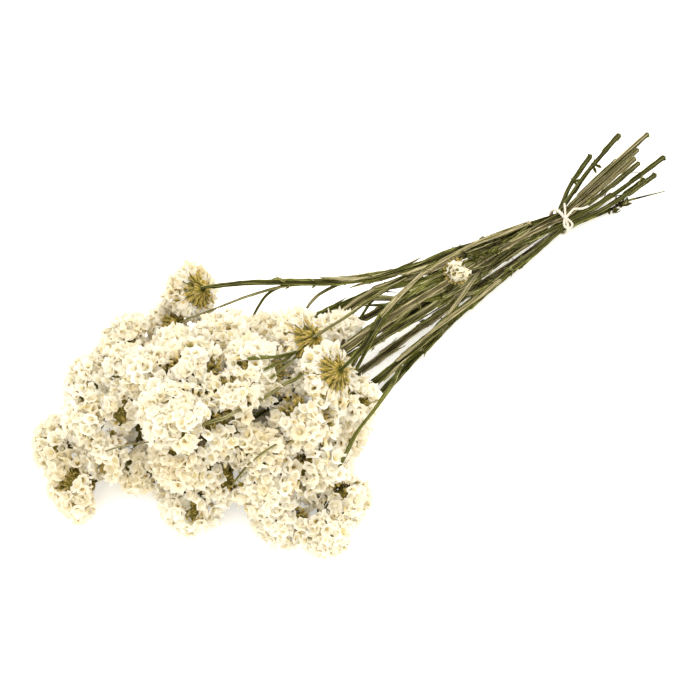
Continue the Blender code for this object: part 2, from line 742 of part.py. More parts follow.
def fuse(name, meshes, material):
    """Join closed meshes that run into each other as one body."""
    scene = bpy.context.scene
    body = bpy.data.objects.new(name, face_outward(meshes[0]))
    body.data.materials.append(material)
    scene.collection.objects.link(body)
    if len(meshes) == 1:
        return body
    group = bpy.data.collections.new(name + "_pieces")
    scene.collection.children.link(group)
    for mesh in meshes[1:]:
        piece = bpy.data.objects.new(mesh.name, face_outward(mesh))
        mesh.materials.append(material)
        group.objects.link(piece)
    union = body.modifiers.new("Fuse", "BOOLEAN")
    union.operation = "UNION"
    union.operand_type = "COLLECTION"
    union.collection = group
    union.solver = "MANIFOLD"
    graph = bpy.context.evaluated_depsgraph_get()
    fused = bpy.data.meshes.new_from_object(body.evaluated_get(graph))
    body.modifiers.clear()
    body.data = fused
    fused.name = name
    for piece in list(group.objects):
        mesh = piece.data
        bpy.data.objects.remove(piece)
        bpy.data.meshes.remove(mesh)
    bpy.data.collections.remove(group)
    return body


def finish(name, colour, roughness):
    """Make a plain material from a colour, as red, green and blue light, and a roughness."""
    material = bpy.data.materials.new(name)
    material.use_nodes = True
    shader = material.node_tree.nodes["Principled BSDF"]
    shader.inputs["Base Color"].default_value = (*colour, 1.0)
    shader.inputs["Roughness"].default_value = roughness
    shader.inputs["Metallic"].default_value = 0.0
    material.diffuse_color = (*colour, 1.0)
    return material


def tooth_fits(root, tip, lines, heads):
    """Tell whether a tooth from root to tip is clear of other stems' lines and of the heads."""
    p, q, thick_p, thick_q = lines
    s, t = nearest_shares(root[None], tip[None], p, q)
    here = root + s[:, None] * (tip - root)
    there = p + t[:, None] * (q - p)
    room = np.linalg.norm(here - there, axis=1) - thick_p * (1 - t) - thick_q * t
    needed = np.where(s > BLADE_FOOT, BLADE_WIDTH / 2 + GAP, 0.5 * BLADE_THICKNESS + GAP)
    middles, sizes, axes, _ = heads
    offset = tip - middles
    above = np.linalg.norm(offset, axis=1) - head_reach(axes, sizes, unit(offset))
    return bool((room > needed).all() and (above > BLADE_WIDTH).all() and tip[2] > BLADE_WIDTH / 2)


def plan_blades(heads, points, radii, rows, owners):
    """Find room for the small leafy teeth of each stem: the stem, root, way, length and flat of each.

    A tooth stands off its stem towards the heads. It turns round the stem, and gets shorter, until
    it is clear of the other stems and of the heads, and is left out where there is no room.
    """
    starts, ends, stem, _, _ = segments_of(rows, owners)
    blades = []
    tries = [(length, turn) for length in BLADE_LENGTHS for turn in BLADE_TURNS]
    for row, (owner, _) in zip(rows, owners):
        if len(row) <= BLADE_STATIONS[-1]:
            continue
        others = stem != owner
        one, two = starts[others], ends[others]
        lines = points[one], points[two], radii[one], radii[two]
        for station in BLADE_STATIONS:
            root = points[row[station]]
            along = unit(points[row[station + 1]] - root)
            side, lift = across(along)
            for length, turn in tries:
                off = math.cos(turn) * lift + math.sin(turn) * side
                way = unit(along + BLADE_SPREAD * off)
                if tooth_fits(root, root + way * length, lines, heads):
                    blades.append((owner, root, way, length, unit(off - way * (off @ way))))
                    break
    return blades


def stem_meshes(stem, heads, points, radii, rows, owners, bracts, blades):
    """Make the meshes of one stem: its winged main line, branches, bract cups and leafy teeth."""
    meshes = []
    for row, (owner, head) in zip(rows, owners):
        if owner != stem:
            continue
        line = points[row]
        main = not meshes
        wings = 3 if main else 2
        valley = WING_VALLEY if main else BRANCH_VALLEY
        twist = WING_TWIST * np.arange(len(row)) + stem
        lean = np.array([0.0, math.cos(stem), math.sin(stem)])
        if not main:
            lean = across(line[1] - line[0])[0]
        meshes.append(sweep(f"line_{head}", line, wing_outline(radii[row], wings, valley, twist), lean))
        meshes.append(star_mesh(f"bracts_{head}", bract_star(heads, head, bracts[head])))
    for owner, root, way, length, flat in blades:
        if owner == stem:
            meshes.append(blade_mesh("tooth", root, way, length, BLADE_WIDTH, flat))
    return meshes


def tie_meshes():
    """Make the string tie: two turns round the stems, a knot, a small bow loop and two tails."""
    centre = np.array([TIE_X, 0.0, TIE_HEIGHT])
    along_stems = np.array([1.0, 0.0, 0.0])
    out = np.array([0.0, math.cos(KNOT_ANGLE), math.sin(KNOT_ANGLE)])
    around = np.cross(along_stems, out)
    ring_radius = (TIE_INNER_RADIUS + STRING_RADIUS) / math.cos(math.pi / TIE_SIDES)
    turns = 2 * math.pi * np.arange(TIE_SIDES) / TIE_SIDES
    meshes = []
    for side in (-1, 1):
        spots = np.outer(np.cos(turns), out) + np.outer(np.sin(turns), around)
        spots = centre + ring_radius * spots
        spots += side * np.outer(0.85 - 0.55 * np.cos(turns), along_stems)
        outline = wing_outline(np.full(TIE_SIDES, STRING_RADIUS), 3, 1.0, np.zeros(TIE_SIDES))
        meshes.append(sweep(f"turn_{side}", spots, outline[:, ::-1], along_stems, closed=True))

    knot = centre + out * (ring_radius + 0.8)
    lump = bmesh.new()
    bmesh.ops.create_icosphere(lump, subdivisions=1, radius=KNOT_RADIUS)
    lump.verts.index_update()
    spots = [knot + np.array(v.co) for v in lump.verts]
    meshes.append(new_mesh("knot", spots, [[v.index for v in face.verts] for face in lump.faces]))
    lump.free()
    ways = np.array([along_stems, around, out])
    for name, route in STRING_ENDS:
        line = knot + np.array(route, float) @ ways
        outline = wing_outline(np.full(len(line), STRING_END_RADIUS), 2, 1.0, np.zeros(len(line)))
        meshes.append(sweep(name, line, outline, np.array([0.3, 0.2, 0.9])))
    return meshes


def main():
    for old in list(bpy.data.objects):
        bpy.data.objects.remove(old)
    heads = plan_heads()
    middles, sizes, axes, _ = heads
    points, radii, free, rows, owners, forks = plan_stems(*heads)
    points = settle_stems(points, radii, free, rows, owners, forks, heads)
    radii = slim_stems(points, radii, rows, owners)
    bracts = fit_bracts(heads, points, radii, rows, owners)
    blades = plan_blades(heads, points, radii, rows, owners)
    print(f"smallest bract cup {bracts.min():.2f} of its full width, {len(blades)} leafy teeth")
    limits = head_limits(heads, points, radii, rows, owners, bracts)

    calyx = finish("papery_calyx", (0.86, 0.82, 0.72), 0.8)
    green = finish("dried_stem", (0.17, 0.16, 0.05), 0.7)
    string = finish("cotton_string", (0.78, 0.72, 0.64), 0.9)
    random = np.random.default_rng(RANDOM_SEED)
    kinds = {cells: spread_cells(cells) for _, cells in HEAD_CELLS}
    for k, middle in enumerate(middles):
        count = next(cells for most, cells in HEAD_CELLS if sizes[k] <= most)
        name = f"head_{k + 1:02d}"
        fuse(name, [head_mesh(name, middle, sizes[k], axes[k], limits[k], kinds[count], random)], calyx)
    for stem in range(STEM_COUNT):
        meshes = stem_meshes(stem, heads, points, radii, rows, owners, bracts, blades)
        fuse(f"stem_{stem + 1:02d}", meshes, green)
    fuse("string_tie", tie_meshes(), string)


main()
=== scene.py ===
# %% [markdown]
# # A tied bunch of dried white statice
#
# Statice is a meadow flower that keeps its looks when it is dried. What stays white is not the petal
# but the calyx, a small papery funnel with a frilled rim. Some seventy of them stand close together
# in one head. Green stems with thin leafy wings carry the heads, and a string holds the stems.
#
# The plain solids of the bunch are loaded first. They are already in the right places, so every
# finer piece below is made where its solid stands, and then takes its place.

import math

import bpy
import mathutils
import numpy as np
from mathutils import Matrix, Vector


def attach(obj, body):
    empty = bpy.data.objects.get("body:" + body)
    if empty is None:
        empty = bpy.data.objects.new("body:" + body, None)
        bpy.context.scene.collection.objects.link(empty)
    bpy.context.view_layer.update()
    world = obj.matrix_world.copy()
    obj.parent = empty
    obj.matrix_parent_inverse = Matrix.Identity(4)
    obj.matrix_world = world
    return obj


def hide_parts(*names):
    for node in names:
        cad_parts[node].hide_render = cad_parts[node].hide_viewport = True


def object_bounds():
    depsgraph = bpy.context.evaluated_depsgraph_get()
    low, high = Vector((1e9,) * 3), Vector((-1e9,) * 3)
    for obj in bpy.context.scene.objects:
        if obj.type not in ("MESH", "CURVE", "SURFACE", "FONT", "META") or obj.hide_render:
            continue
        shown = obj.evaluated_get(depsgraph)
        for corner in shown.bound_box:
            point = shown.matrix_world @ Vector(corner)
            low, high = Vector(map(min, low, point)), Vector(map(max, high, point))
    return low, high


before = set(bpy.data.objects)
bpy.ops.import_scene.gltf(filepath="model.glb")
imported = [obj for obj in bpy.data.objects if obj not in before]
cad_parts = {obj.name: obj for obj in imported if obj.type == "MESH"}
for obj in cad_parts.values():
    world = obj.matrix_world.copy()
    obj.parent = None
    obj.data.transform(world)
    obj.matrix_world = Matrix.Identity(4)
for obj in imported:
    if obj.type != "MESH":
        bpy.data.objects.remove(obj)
cad_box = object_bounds()
print(f"{len(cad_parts)} solids, from {np.round(cad_box[0], 3)} to {np.round(cad_box[1], 3)} m")

# %% [markdown]
# ## Where everything grows
#
# The bunch is laid out by rules, in millimetres: a list of flower heads, a ring of places in the
# tie, and a smooth line from each cut end through the tie to its heads. The lines are then pushed
# apart until no two stems touch. Working this out again here gives each head's own axes and each
# stem's middle line, which the loaded solids don't hold. The finer pieces are built on those.

# %% Sizes of the bunch
MM = 0.001
UP = np.array([0.0, 0.0, 1.0])

# Middle of the bunch's outline as it lies, which becomes the origin.
MIDDLE = np.array([27.9, -23.3, 0.0])
# Clear space between two pieces that touch on the real bunch.
GAP = 0.3

# The string tie and the bundle of stems inside it.
TIE_X = 232.0
TIE_HEIGHT = 13.4
SLOT_RADIUS = 2.54
STEM_RADIUS_AT_TIE = 2.4
INNER_SLOTS = 3
OUTER_SLOTS = 10
STRING_RADIUS = 1.0
TIE_INNER_RADIUS = 10.9
KNOT_ANGLE = math.radians(120.0)
STRING_END_RADIUS = 0.85
# The bow loop and the two tails from the knot: steps along the stems, round the tie and out from it.
STRING_ENDS = (
    ("loop", ((0, 0, 0), (1, 3, 2), (1, 8, 4), (-3, 10, 4), (-6, 7, 3), (-4, 3, 1), (0, 0, -0.3))),
    ("long_tail", ((0, 0, 0), (6, -2, 2), (12, -3, 1.2), (18, 0, 2.4), (25, 1, 2.6))),
    ("short_tail", ((0, 0, 0), (3, -6, 1.2), (7, -12, -0.5))),
)

# Stems: the wings' reach from the stem's middle line, half way and below the head.
WING_MIDDLE = 4.1
WING_TIP = 1.7
# The reach at the cut end, behind and in the tie, past it, half way, at the forks and at the head.
WING_REACHES = (3.1, STEM_RADIUS_AT_TIE, STEM_RADIUS_AT_TIE, 3.4, WING_MIDDLE, 3.0, WING_TIP)
BRANCH_START = 1.9
BRANCH_TIP = 1.2
WING_TWIST = math.radians(9.0)
CURVE_STATIONS = 3
HANDLE_SHARE = 0.36
LONGEST_HANDLE = 60.0
BRANCH_STATIONS = 3
# A branch leaves its stem about this far before its head, every other one further back.
FORK_DISTANCES = (68.0, 118.0)
NECK_LENGTH = 12.0
# Leafy teeth: the points of the main line that carry one, and the ways and lengths to try.
BLADE_STATIONS = (5, 9)
BLADE_LENGTHS = (16.0, 12.0)
BLADE_TURNS = (0.0, 0.9, -0.9, 1.8, -1.8, 2.7, -2.7)
BLADE_WIDTH = 3.6
BLADE_THICKNESS = 0.9
BLADE_FOOT = 0.12
BLADE_SPREAD = 0.55
# How far each stem's cut end reaches past the tie, and how the ends spread, lean and rise there.
TAIL_LENGTHS = (96, 66, 90, 70, 80, 84, 64, 94, 104, 112, 88, 108, 113)
TAIL_SPREAD = 2.1
TAIL_LEAN = 9.0
TAIL_FAN = 1.5
TAIL_RISE = 13.0
TAIL_WANDER = 5.0
# The stems run straight for this far on both sides of the tie's middle.
TIE_STRAIGHT = 6.0

# Heads, as shares of a head's size: half width, half depth, height over the middle, and how far
# the round underside and the flat base lie below it. The bract cup under a head is a star.
HEAD_HALF_WIDTH = 0.56
HEAD_HALF_DEPTH = 0.49
HEAD_HEIGHT = 0.43
HEAD_DEPTH = 0.40
HEAD_BASE = 0.15
BRACT_RADIUS = 0.24
BRACT_POINTS = 5
BRACT_NOTCH = 0.55
# A head that lies on the surface is pressed flat there: its middle is this share of its size up.
HEAD_ON_SURFACE = 0.36
# Heads press into each other down to this share of their widths.
HEAD_CROWDING = 0.80
# The rims of the calyces reach this much past the size that a head is listed with.
HEAD_SWELL = 1.07
# How much of a press two heads yield at a time, and of the way back to where they were placed.
HEAD_YIELD = 0.2
HEAD_RETURN = 0.03

# The middle of the heap of heads, and how far it reaches along X, Y and Z.
HEAP_MIDDLE = np.array([-140.0, -25.0, 35.0])
HEAP_REACH = np.array([130.0, 120.0, 60.0])
# A head faces away from the tie, out of the heap and up, in these shares.
FACING_AWAY = 0.5
FACING_OUT = 0.9
FACING_UP = 0.55

# Each head: its stem, its middle along X, Y and Z, and its size. A stem's first head is the one
# that its main line runs to. A few heads hang over, and have the way they face after their size.
HEADS = (
    (0, -105, 88, 60, 46, (-0.45, 0.55, -0.70)),
    (0, -127, 82, 48, 36, (-0.45, 0.55, -0.70)),
    (0, -110, 27, 70, 48),
    (0, -92, 50, 15, 40),
    (1, -218, 59, 45, 48),
    (1, -171, 83, 50, 46),
    (1, -186, 57, 62, 36),
    (1, -150, 72, 15, 42),
    (2, -261, 47, 22, 42),
    (2, -229, 39, 48, 42),
    (2, -208, 22, 62, 36),
    (3, -267, 8, 17, 48),
    (3, -235, 9, 44, 38),
    (3, -216, -12, 28, 40),
    (4, -201, 14, 36, 36),
    (4, -178, 20, 80, 48),
    (4, -150, 39, 70, 40),
    (4, -160, 20, 26, 44),
    (5, -185, -27, 88, 54),
    (5, -153, 0, 92, 46),
    (5, -138, -34, 90, 40),
    (6, -201, -62, 16, 46),
    (6, -193, -41, 60, 46),
    (6, -174, -64, 38, 40),
    (6, -158, -19, 14, 44),
    (7, -154, -52, 75, 40),
    (7, -145, -69, 68, 36),
    (7, -127, -76, 50, 36),
    (8, -75, 16, 60, 42),
    (8, -60, -18, 80, 48, (-0.46, 0.46, -0.76)),
    (8, -19, -13, 60, 32),
    (9, -67, -62, 85, 48, (-0.46, 0.46, -0.76)),
    (9, -49, -78, 55, 36),
    (9, -65, -84, 34, 38),
    (10, -107, -104, 35, 48),
    (10, -98, -75, 70, 46),
    (10, -97, -38, 40, 38),
    (11, -124, -144, 14, 38),
    (11, -147, -114, 14, 40),
    (11, -140, -89, 40, 44),
    (11, -97, -125, 14, 40),
    (12, -117, -28, 90, 50),
    (12, -120, -12, 30, 44),
    (12, 92, -27, 73, 22, (-0.45, -0.35, 0.80)),
)
STEM_COUNT = INNER_SLOTS + OUTER_SLOTS

# Where each stem's main line passes, half way from the tie to its first head.
WAYPOINTS = (
    (28, 10, 69),
    (24, 2, 60),
    (40, -4, 40),
    (43, -10, 24),
    (28, -18, 54),
    (37, -22, 66),
    (39, -28, 20),
    (30, -36, 48),
    (24, -6, 70),
    (30, -26, 76),
    (40, -52, 40),
    (60, -44, 12),
    (50, -18, 58),
)

RANDOM_SEED = 41
HEAD_STEPS = 90
# Bending the stems clear: the steps, a stem's stiffness, and how near a head's skin it may pass.
SETTLING_STEPS = 300
STEM_STIFFNESS = 0.10
SKIN_SHARE = 0.86
CUP_ROOM = 0.8
SURFACE_GAP = 0.2
# A stretch's far end moves little: the least sum of squared shares, and the least share that counts.
LEAST_SQUARES = 0.08
LEAST_SHARE = 0.02
NARROWING_ROUNDS = 30
# Stems that pass a head within this share of its size get a plane of their own.
STEM_NEAR_SHARE = 0.7
# Heads, cups and stems whose middles are further apart than this never touch.
NEIGHBOUR_SPAN = 90.0
# Nothing of a head is drawn nearer to its middle than this.
SMALLEST_REACH = 1.2

print(f"{len(HEADS)} heads on {STEM_COUNT} stems, tied {TIE_X - MIDDLE[0]:.0f} mm from the middle")

# %% [markdown]
# Heads, stems and leaves all point somewhere, so three small helpers for directions come first.

# %% Directions
def unit(vectors):
    """Scale each vector to length one."""
    return vectors / np.maximum(np.linalg.norm(vectors, axis=-1, keepdims=True), 1e-9)


def square_to(vector, way):
    """Take away the part of a vector that runs along a unit way, and scale the rest to length one."""
    return unit(vector - way * (vector @ way))


def across(direction, near=UP):
    """Give two unit vectors square to the direction and to each other, the second one near to near."""
    direction = unit(direction)
    side = np.cross(near, direction)
    if np.linalg.norm(side) < 0.1:
        side = np.cross(np.array([0.0, 1.0, 0.0]), direction)
    side = unit(side)
    return side, np.cross(direction, side)

# %% [markdown]
# ## The heads press into each other
#
# Each head is bun-shaped. Its width along any direction comes from the ellipsoid's support distance,
# and heads that overlap too much push each other away in small steps, as soft heads do in a heap.

# %% Place the heads
def head_reach(axes, sizes, directions):
    """Give how far each bun-shaped head reaches from its middle along a direction.

    The bun is two half ellipsoids on one outline. Its reach is the ellipsoid's support distance:
    the root of the sum of the squares of each half axis times the direction's share of it.
    """
    shares = np.einsum("...ij,...j->...i", axes, directions)
    height = np.where(shares[..., 2] > 0, HEAD_HEIGHT, HEAD_BASE)
    halves = np.stack(
        [np.full_like(height, HEAD_HALF_WIDTH), np.full_like(height, HEAD_HALF_DEPTH), height], -1
    )
    return sizes * np.linalg.norm(shares * halves, axis=-1)


def plan_heads():
    """Place the heads: their middles, sizes, own axes and the stem that carries each."""
    middles = np.array([row[1:4] for row in HEADS], float)
    sizes = HEAD_SWELL * np.array([row[4] for row in HEADS], float)
    stems = np.array([row[0] for row in HEADS])
    away = middles - np.array([TIE_X, 0.0, 0.0])
    away[:, 2] = 0.0
    facing = FACING_AWAY * unit(away) + FACING_OUT * (middles - HEAP_MIDDLE) / HEAP_REACH + FACING_UP * UP
    for row, head in enumerate(HEADS):
        if len(head) > 5:
            facing[row] = head[5]
    facing = unit(facing)
    axes = np.array([[*across(way), way] for way in facing])

    drawn = middles.copy()
    for _ in range(HEAD_STEPS):
        offsets = middles[None, :] - middles[:, None]
        spans = np.linalg.norm(offsets, axis=-1)
        ways = unit(offsets)
        mine = head_reach(axes[:, None], sizes[:, None], ways)
        room = HEAD_CROWDING * (mine + mine.T)
        press = np.clip(room - spans, 0.0, None)
        np.fill_diagonal(press, 0.0)
        middles -= HEAD_YIELD * (press[..., None] * ways).sum(axis=1)
        middles += HEAD_RETURN * (drawn - middles)
        middles[:, 2] = np.maximum(middles[:, 2], HEAD_ON_SURFACE * sizes)
    return middles, sizes, axes, stems

heads = plan_heads()
middles, sizes, axes, carrying_stems = heads
print(f"heads are {sizes.min():.0f} to {sizes.max():.0f} mm wide")

# %% [markdown]
# ## The lines of the stems
#
# Thirteen stems are packed in the tie as circles in two rings. Each line is two cubic curves, from
# the tie to a point half way and on to its first head, and each side branch is one more curve.

# %% Draw the stems' middle lines
def plan_slots(targets):
    """Give each stem its place in the tie, so that the stems cross as little as they can.

    The places are a ring of three inside a ring of ten, all touching. The stems start in any
    order, and two of them change places whenever that shortens the ways to their heads.
    """
    inner = SLOT_RADIUS / math.sin(math.pi / INNER_SLOTS)
    outer = SLOT_RADIUS / math.sin(math.pi / OUTER_SLOTS)
    rings = [(inner, 2 * math.pi * k / INNER_SLOTS + 0.5) for k in range(INNER_SLOTS)]
    rings += [(outer, 2 * math.pi * k / OUTER_SLOTS) for k in range(OUTER_SLOTS)]
    places = np.array([[r * math.cos(a), r * math.sin(a)] for r, a in rings])
    wanted = (targets - targets.mean(axis=0)) / np.abs(targets - targets.mean(axis=0)).max(axis=0)
    cost = np.linalg.norm(wanted[:, None] * outer - places[None, :], axis=-1) ** 2
    order = np.arange(len(places))
    changed = True
    while changed:
        changed = False
        for a in range(len(order)):
            for b in range(a):
                now = cost[a, order[a]] + cost[b, order[b]]
                if cost[a, order[b]] + cost[b, order[a]] < now - 1e-9:
                    order[[a, b]] = order[[b, a]]
                    changed = True
    return places[order]


def bezier(start, start_way, end_way, end, shares):
    """Give points of a cubic curve that leaves start along start_way and meets end along end_way."""
    t = np.asarray(shares)[:, None]
    handle = min(HANDLE_SHARE * np.linalg.norm(end - start), LONGEST_HANDLE)
    first = start + unit(start_way) * handle
    second = end - unit(end_way) * handle
    return (
        (1 - t) ** 3 * start
        + 3 * (1 - t) ** 2 * t * first
        + 3 * (1 - t) * t**2 * second
        + t**3 * end
    )


def plan_stems(middles, sizes, axes, stems):
    """Draw the middle line of each stem and branch as a row of points with a radius at each.

    Returns the points, their radii, which of them may move, the rows of point numbers, the stem
    and head of each row, and for each branch the two stem points and the share where it starts.
    """
    random = np.random.default_rng(RANDOM_SEED)
    ways = axes[:, 2]
    bases = middles - ways * (HEAD_BASE * sizes + GAP)[:, None]
    necks = bases - ways * NECK_LENGTH
    leaders = np.array([np.flatnonzero(stems == k)[0] for k in range(STEM_COUNT)])
    slots = plan_slots(bases[leaders][:, 1:])

    points, radii, free, rows, owners, forks = [], [], [], [], [], []
    for stem, leader in enumerate(leaders):
        side, lift = slots[stem]
        tie = np.array([TIE_X, side, TIE_HEIGHT + lift])
        spread = TAIL_SPREAD * side + TAIL_LEAN + random.uniform(-TAIL_WANDER, TAIL_WANDER)
        cut = tie + np.array([TAIL_LENGTHS[stem], spread, TAIL_FAN * lift + TAIL_RISE])
        bow = 0.5 * (tie + cut) + np.array([0.0, 0.3 * side, -2.0])
        target = necks[leader]
        past, before = tie + [TIE_STRAIGHT, 0, 0], tie - [TIE_STRAIGHT, 0, 0]
        pass_by = np.array(WAYPOINTS[stem], float)
        leave = 0.6 * unit(pass_by - tie) + np.array([-0.4, 0.01 * side, 0.01 * lift])
        through = unit(pass_by - tie) + unit(target - pass_by)
        arrive = 0.5 * ways[leader] + 0.6 * unit(target - pass_by)
        shares = np.arange(1, CURVE_STATIONS + 1) / (CURVE_STATIONS + 1)
        first = bezier(before, leave, through, pass_by, shares)
        second = bezier(pass_by, through, arrive, target, shares)
        line = np.vstack([cut, bow, past, before, first, pass_by, second, target, bases[leader]])
        width = np.interp(np.arange(len(line)), [0, 1, 3, 5, 8, 10, len(line) - 2], WING_REACHES)
        start = sum(len(p) for p in points)
        points.append(line)
        radii.append(width)
        free.append(np.array([1, 1, 0, 0] + [1] * (2 * CURVE_STATIONS + 1) + [0, 0], bool))
        main = np.arange(start, start + len(line))
        rows.append(main)
        owners.append((stem, leader))
        forks.append(None)

        for head in np.flatnonzero(stems == stem)[1:]:
            spans = np.linalg.norm(line - necks[head], axis=1)
            nearest = max(int(np.argmin(spans)), 4)
            wanted = max(FORK_DISTANCES[len(rows) % 2], 1.25 * spans[nearest])
            at = nearest
            while at > 4 and spans[at] < wanted:
                at -= 1
            share = 0.0
            if spans[at] > wanted and at < nearest:
                share = (spans[at] - wanted) / (spans[at] - spans[at + 1])
            share = min(max(share, 0.1), 0.9)
            root = line[at] * (1 - share) + line[at + 1] * share
            along = unit(line[at + 1] - line[at])
            arrive = 0.6 * ways[head] + 0.5 * unit(necks[head] - root)
            inner = np.arange(1, BRANCH_STATIONS + 1) / (BRANCH_STATIONS + 1)
            curve = bezier(root, along, arrive, necks[head], inner)
            twig = np.vstack([root, curve, necks[head], bases[head]])
            start = sum(len(p) for p in points)
            points.append(twig)
            radii.append(np.linspace(BRANCH_START, BRANCH_TIP, len(twig)))
            free.append(np.array([0] + [1] * BRANCH_STATIONS + [0, 0], bool))
            rows.append(np.arange(start, start + len(twig)))
            owners.append((stem, head))
            forks.append((main[at], main[at + 1], share))
    return np.vstack(points), np.concatenate(radii), np.concatenate(free), rows, owners, forks

points, radii, free, rows, owners, forks = plan_stems(*heads)
print(f"{len(rows)} lines with {len(points)} points")

# %% [markdown]
# ## Stems don't pass through each other
#
# Where two lines come too close, both bend a little away. That is repeated a few hundred times.
# What is still tight after that gets narrower wings.

# %% Bend the stems clear of each other
def nearest_shares(p, q, r, s):
    """Give where segments p to q and r to s come nearest, as shares of their lengths."""
    one, two, between = q - p, s - r, p - r
    a, e, f = (one * one).sum(-1), (two * two).sum(-1), (two * between).sum(-1)
    c, b = (one * between).sum(-1), (one * two).sum(-1)
    first = np.clip((b * f - c * e) / np.maximum(a * e - b * b, 1e-6), 0, 1)
    second = np.clip((b * first + f) / e, 0, 1)
    first = np.clip((b * second - c) / a, 0, 1)
    second = np.clip((b * first + f) / e, 0, 1)
    return first, second


def between(values, starts, ends, shares):
    """Read values at shares of the ways from some point numbers to others."""
    shares = shares.reshape(shares.shape + (1,) * (values.ndim - 1))
    return values[starts] * (1 - shares) + values[ends] * shares


def other_stems(stem):
    """List the pairs of stretches that belong to two stems."""
    one, two = np.triu_indices(len(stem), 1)
    apart = stem[one] != stem[two]
    return one[apart], two[apart]


def segments_of(rows, owners):
    """List every straight stretch as two point numbers, with its stem and its head."""
    starts = np.concatenate([row[:-1] for row in rows])
    ends = np.concatenate([row[1:] for row in rows])
    stem = np.concatenate([np.full(len(r) - 1, o[0]) for r, o in zip(rows, owners)])
    head = np.concatenate([np.full(len(r) - 1, o[1]) for r, o in zip(rows, owners)])
    last = np.concatenate([np.arange(len(r) - 1) >= len(r) - 3 for r in rows])
    return starts, ends, stem, head, last


def push_apart(push, count, free, ends, shares, moves):
    """Share out the moves of points on stretches to the stretches' two ends, the nearer end more."""
    weights = [(1 - shares) * free[ends[0]], shares * free[ends[1]]]
    total = np.maximum(weights[0] ** 2 + weights[1] ** 2, LEAST_SQUARES)
    for end, weight in zip(ends, weights):
        np.add.at(push, end, moves * (weight / total)[:, None])
        np.add.at(count, end, (weight > LEAST_SHARE).astype(float))


def settle_stems(points, radii, free, rows, owners, forks, heads):
    """Bend the stems clear of each other, of the heads and of the surface, a little at a time."""
    middles, sizes, axes, _ = heads
    starts, ends, stem, head, last = segments_of(rows, owners)
    one, two = other_stems(stem)
    own = (head[:, None] == np.arange(len(middles))[None, :]) & last[:, None]
    rest = np.zeros_like(points)
    inside = np.concatenate([row[1:-1] for row in rows])
    rest[inside] = 0.5 * (points[inside - 1] + points[inside + 1]) - points[inside]
    wide = radii.copy()
    for row, (_, carried) in zip(rows, owners):
        wide[row[-1]] = CUP_ROOM * BRACT_RADIUS * sizes[carried]
    for _ in range(SETTLING_STEPS):
        push = np.zeros_like(points)
        count = np.zeros(len(points))

        s, t = nearest_shares(points[starts[one]], points[ends[one]], points[starts[two]], points[ends[two]])
        room = between(wide, starts[one], ends[one], s) + between(wide, starts[two], ends[two], t) + 2 * GAP
        offset = between(points, starts[one], ends[one], s) - between(points, starts[two], ends[two], t)
        span = np.linalg.norm(offset, axis=1)
        close = span < room
        move = 0.5 * (room - span)[close, None] * unit(offset[close])
        for side, share, sign in ((one[close], s[close], 1.0), (two[close], t[close], -1.0)):
            push_apart(push, count, free, (starts[side], ends[side]), share, sign * move)

        p, q = points[starts][:, None], points[ends][:, None]
        along = q - p
        share = ((middles[None] - p) * along).sum(-1) / (along * along).sum(-1)
        share = np.clip(share, 0, 1)
        offset = p + along * share[..., None] - middles[None]
        span = np.linalg.norm(offset, axis=-1)
        reach = head_reach(axes[None], sizes[None], unit(offset))
        room = SKIN_SHARE * reach + radii[starts][:, None] * (1 - share) + radii[ends][:, None] * share
        close = (span < room) & ~own
        side = np.nonzero(close)[0]
        move = (0.5 * (room - span))[close][:, None] * unit(offset[close])
        push_apart(push, count, free, (starts[side], ends[side]), share[close], move)

        points = points + np.where(free[:, None], push / np.maximum(count, 1.0)[:, None], 0.0)
        bend = np.zeros_like(points)
        bend[inside] = 0.5 * (points[inside - 1] + points[inside + 1]) - points[inside] - rest[inside]
        points += np.where(free[:, None], STEM_STIFFNESS * bend, 0.0)
        points[:, 2] = np.maximum(points[:, 2], radii + SURFACE_GAP)
        for row, fork in zip(rows, forks):
            if fork is not None:
                points[row[0]] = points[fork[0]] * (1 - fork[2]) + points[fork[1]] * fork[2]
    return points


def slim_stems(points, radii, rows, owners):
    """Narrow the wings where two stems pass closer than their full widths."""
    starts, ends, stem, _, _ = segments_of(rows, owners)
    one, two = other_stems(stem)
    s, t = nearest_shares(points[starts[one]], points[ends[one]], points[starts[two]], points[ends[two]])
    offset = between(points, starts[one], ends[one], s) - between(points, starts[two], ends[two], t)
    span = np.linalg.norm(offset, axis=1)
    radii = radii.copy()
    for _ in range(NARROWING_ROUNDS):
        reach = between(radii, starts[one], ends[one], s) + between(radii, starts[two], ends[two], t)
        ratio = (span - GAP) / reach
        tight = ratio < 1.0
        if not tight.any():
            break
        for side in (one, two):
            for end in (starts, ends):
                np.minimum.at(radii, end[side[tight]], radii[end[side[tight]]] * ratio[tight])
    print(f"narrowest wing {radii.min():.2f} mm")
    return radii

points = settle_stems(points, radii, free, rows, owners, forks, heads)
radii = slim_stems(points, radii, rows, owners)

# %% [markdown]
# ## Room for each head
#
# Flat planes stand between a head and its neighbours. A calyx that would pass one is drawn back
# to it, so heads touch and flatten each other but never run into each other.

# %% Find the planes round each head
def bract_star(heads, head):
    """Give the bract cup under a head: its star-shaped flat top, and the point it grows from."""
    middles, sizes, axes, _ = heads
    side, up, way = axes[head]
    top = middles[head] - way * (HEAD_BASE * sizes[head] + GAP)
    corners = []
    for k in range(2 * BRACT_POINTS):
        reach = BRACT_RADIUS * sizes[head] * (1.0 if k % 2 == 0 else BRACT_NOTCH)
        angle = math.pi * k / BRACT_POINTS
        corners.append(top + reach * (math.cos(angle) * side + math.sin(angle) * up))
    return np.array(corners + [top - way * (NECK_LENGTH - 1.0)])


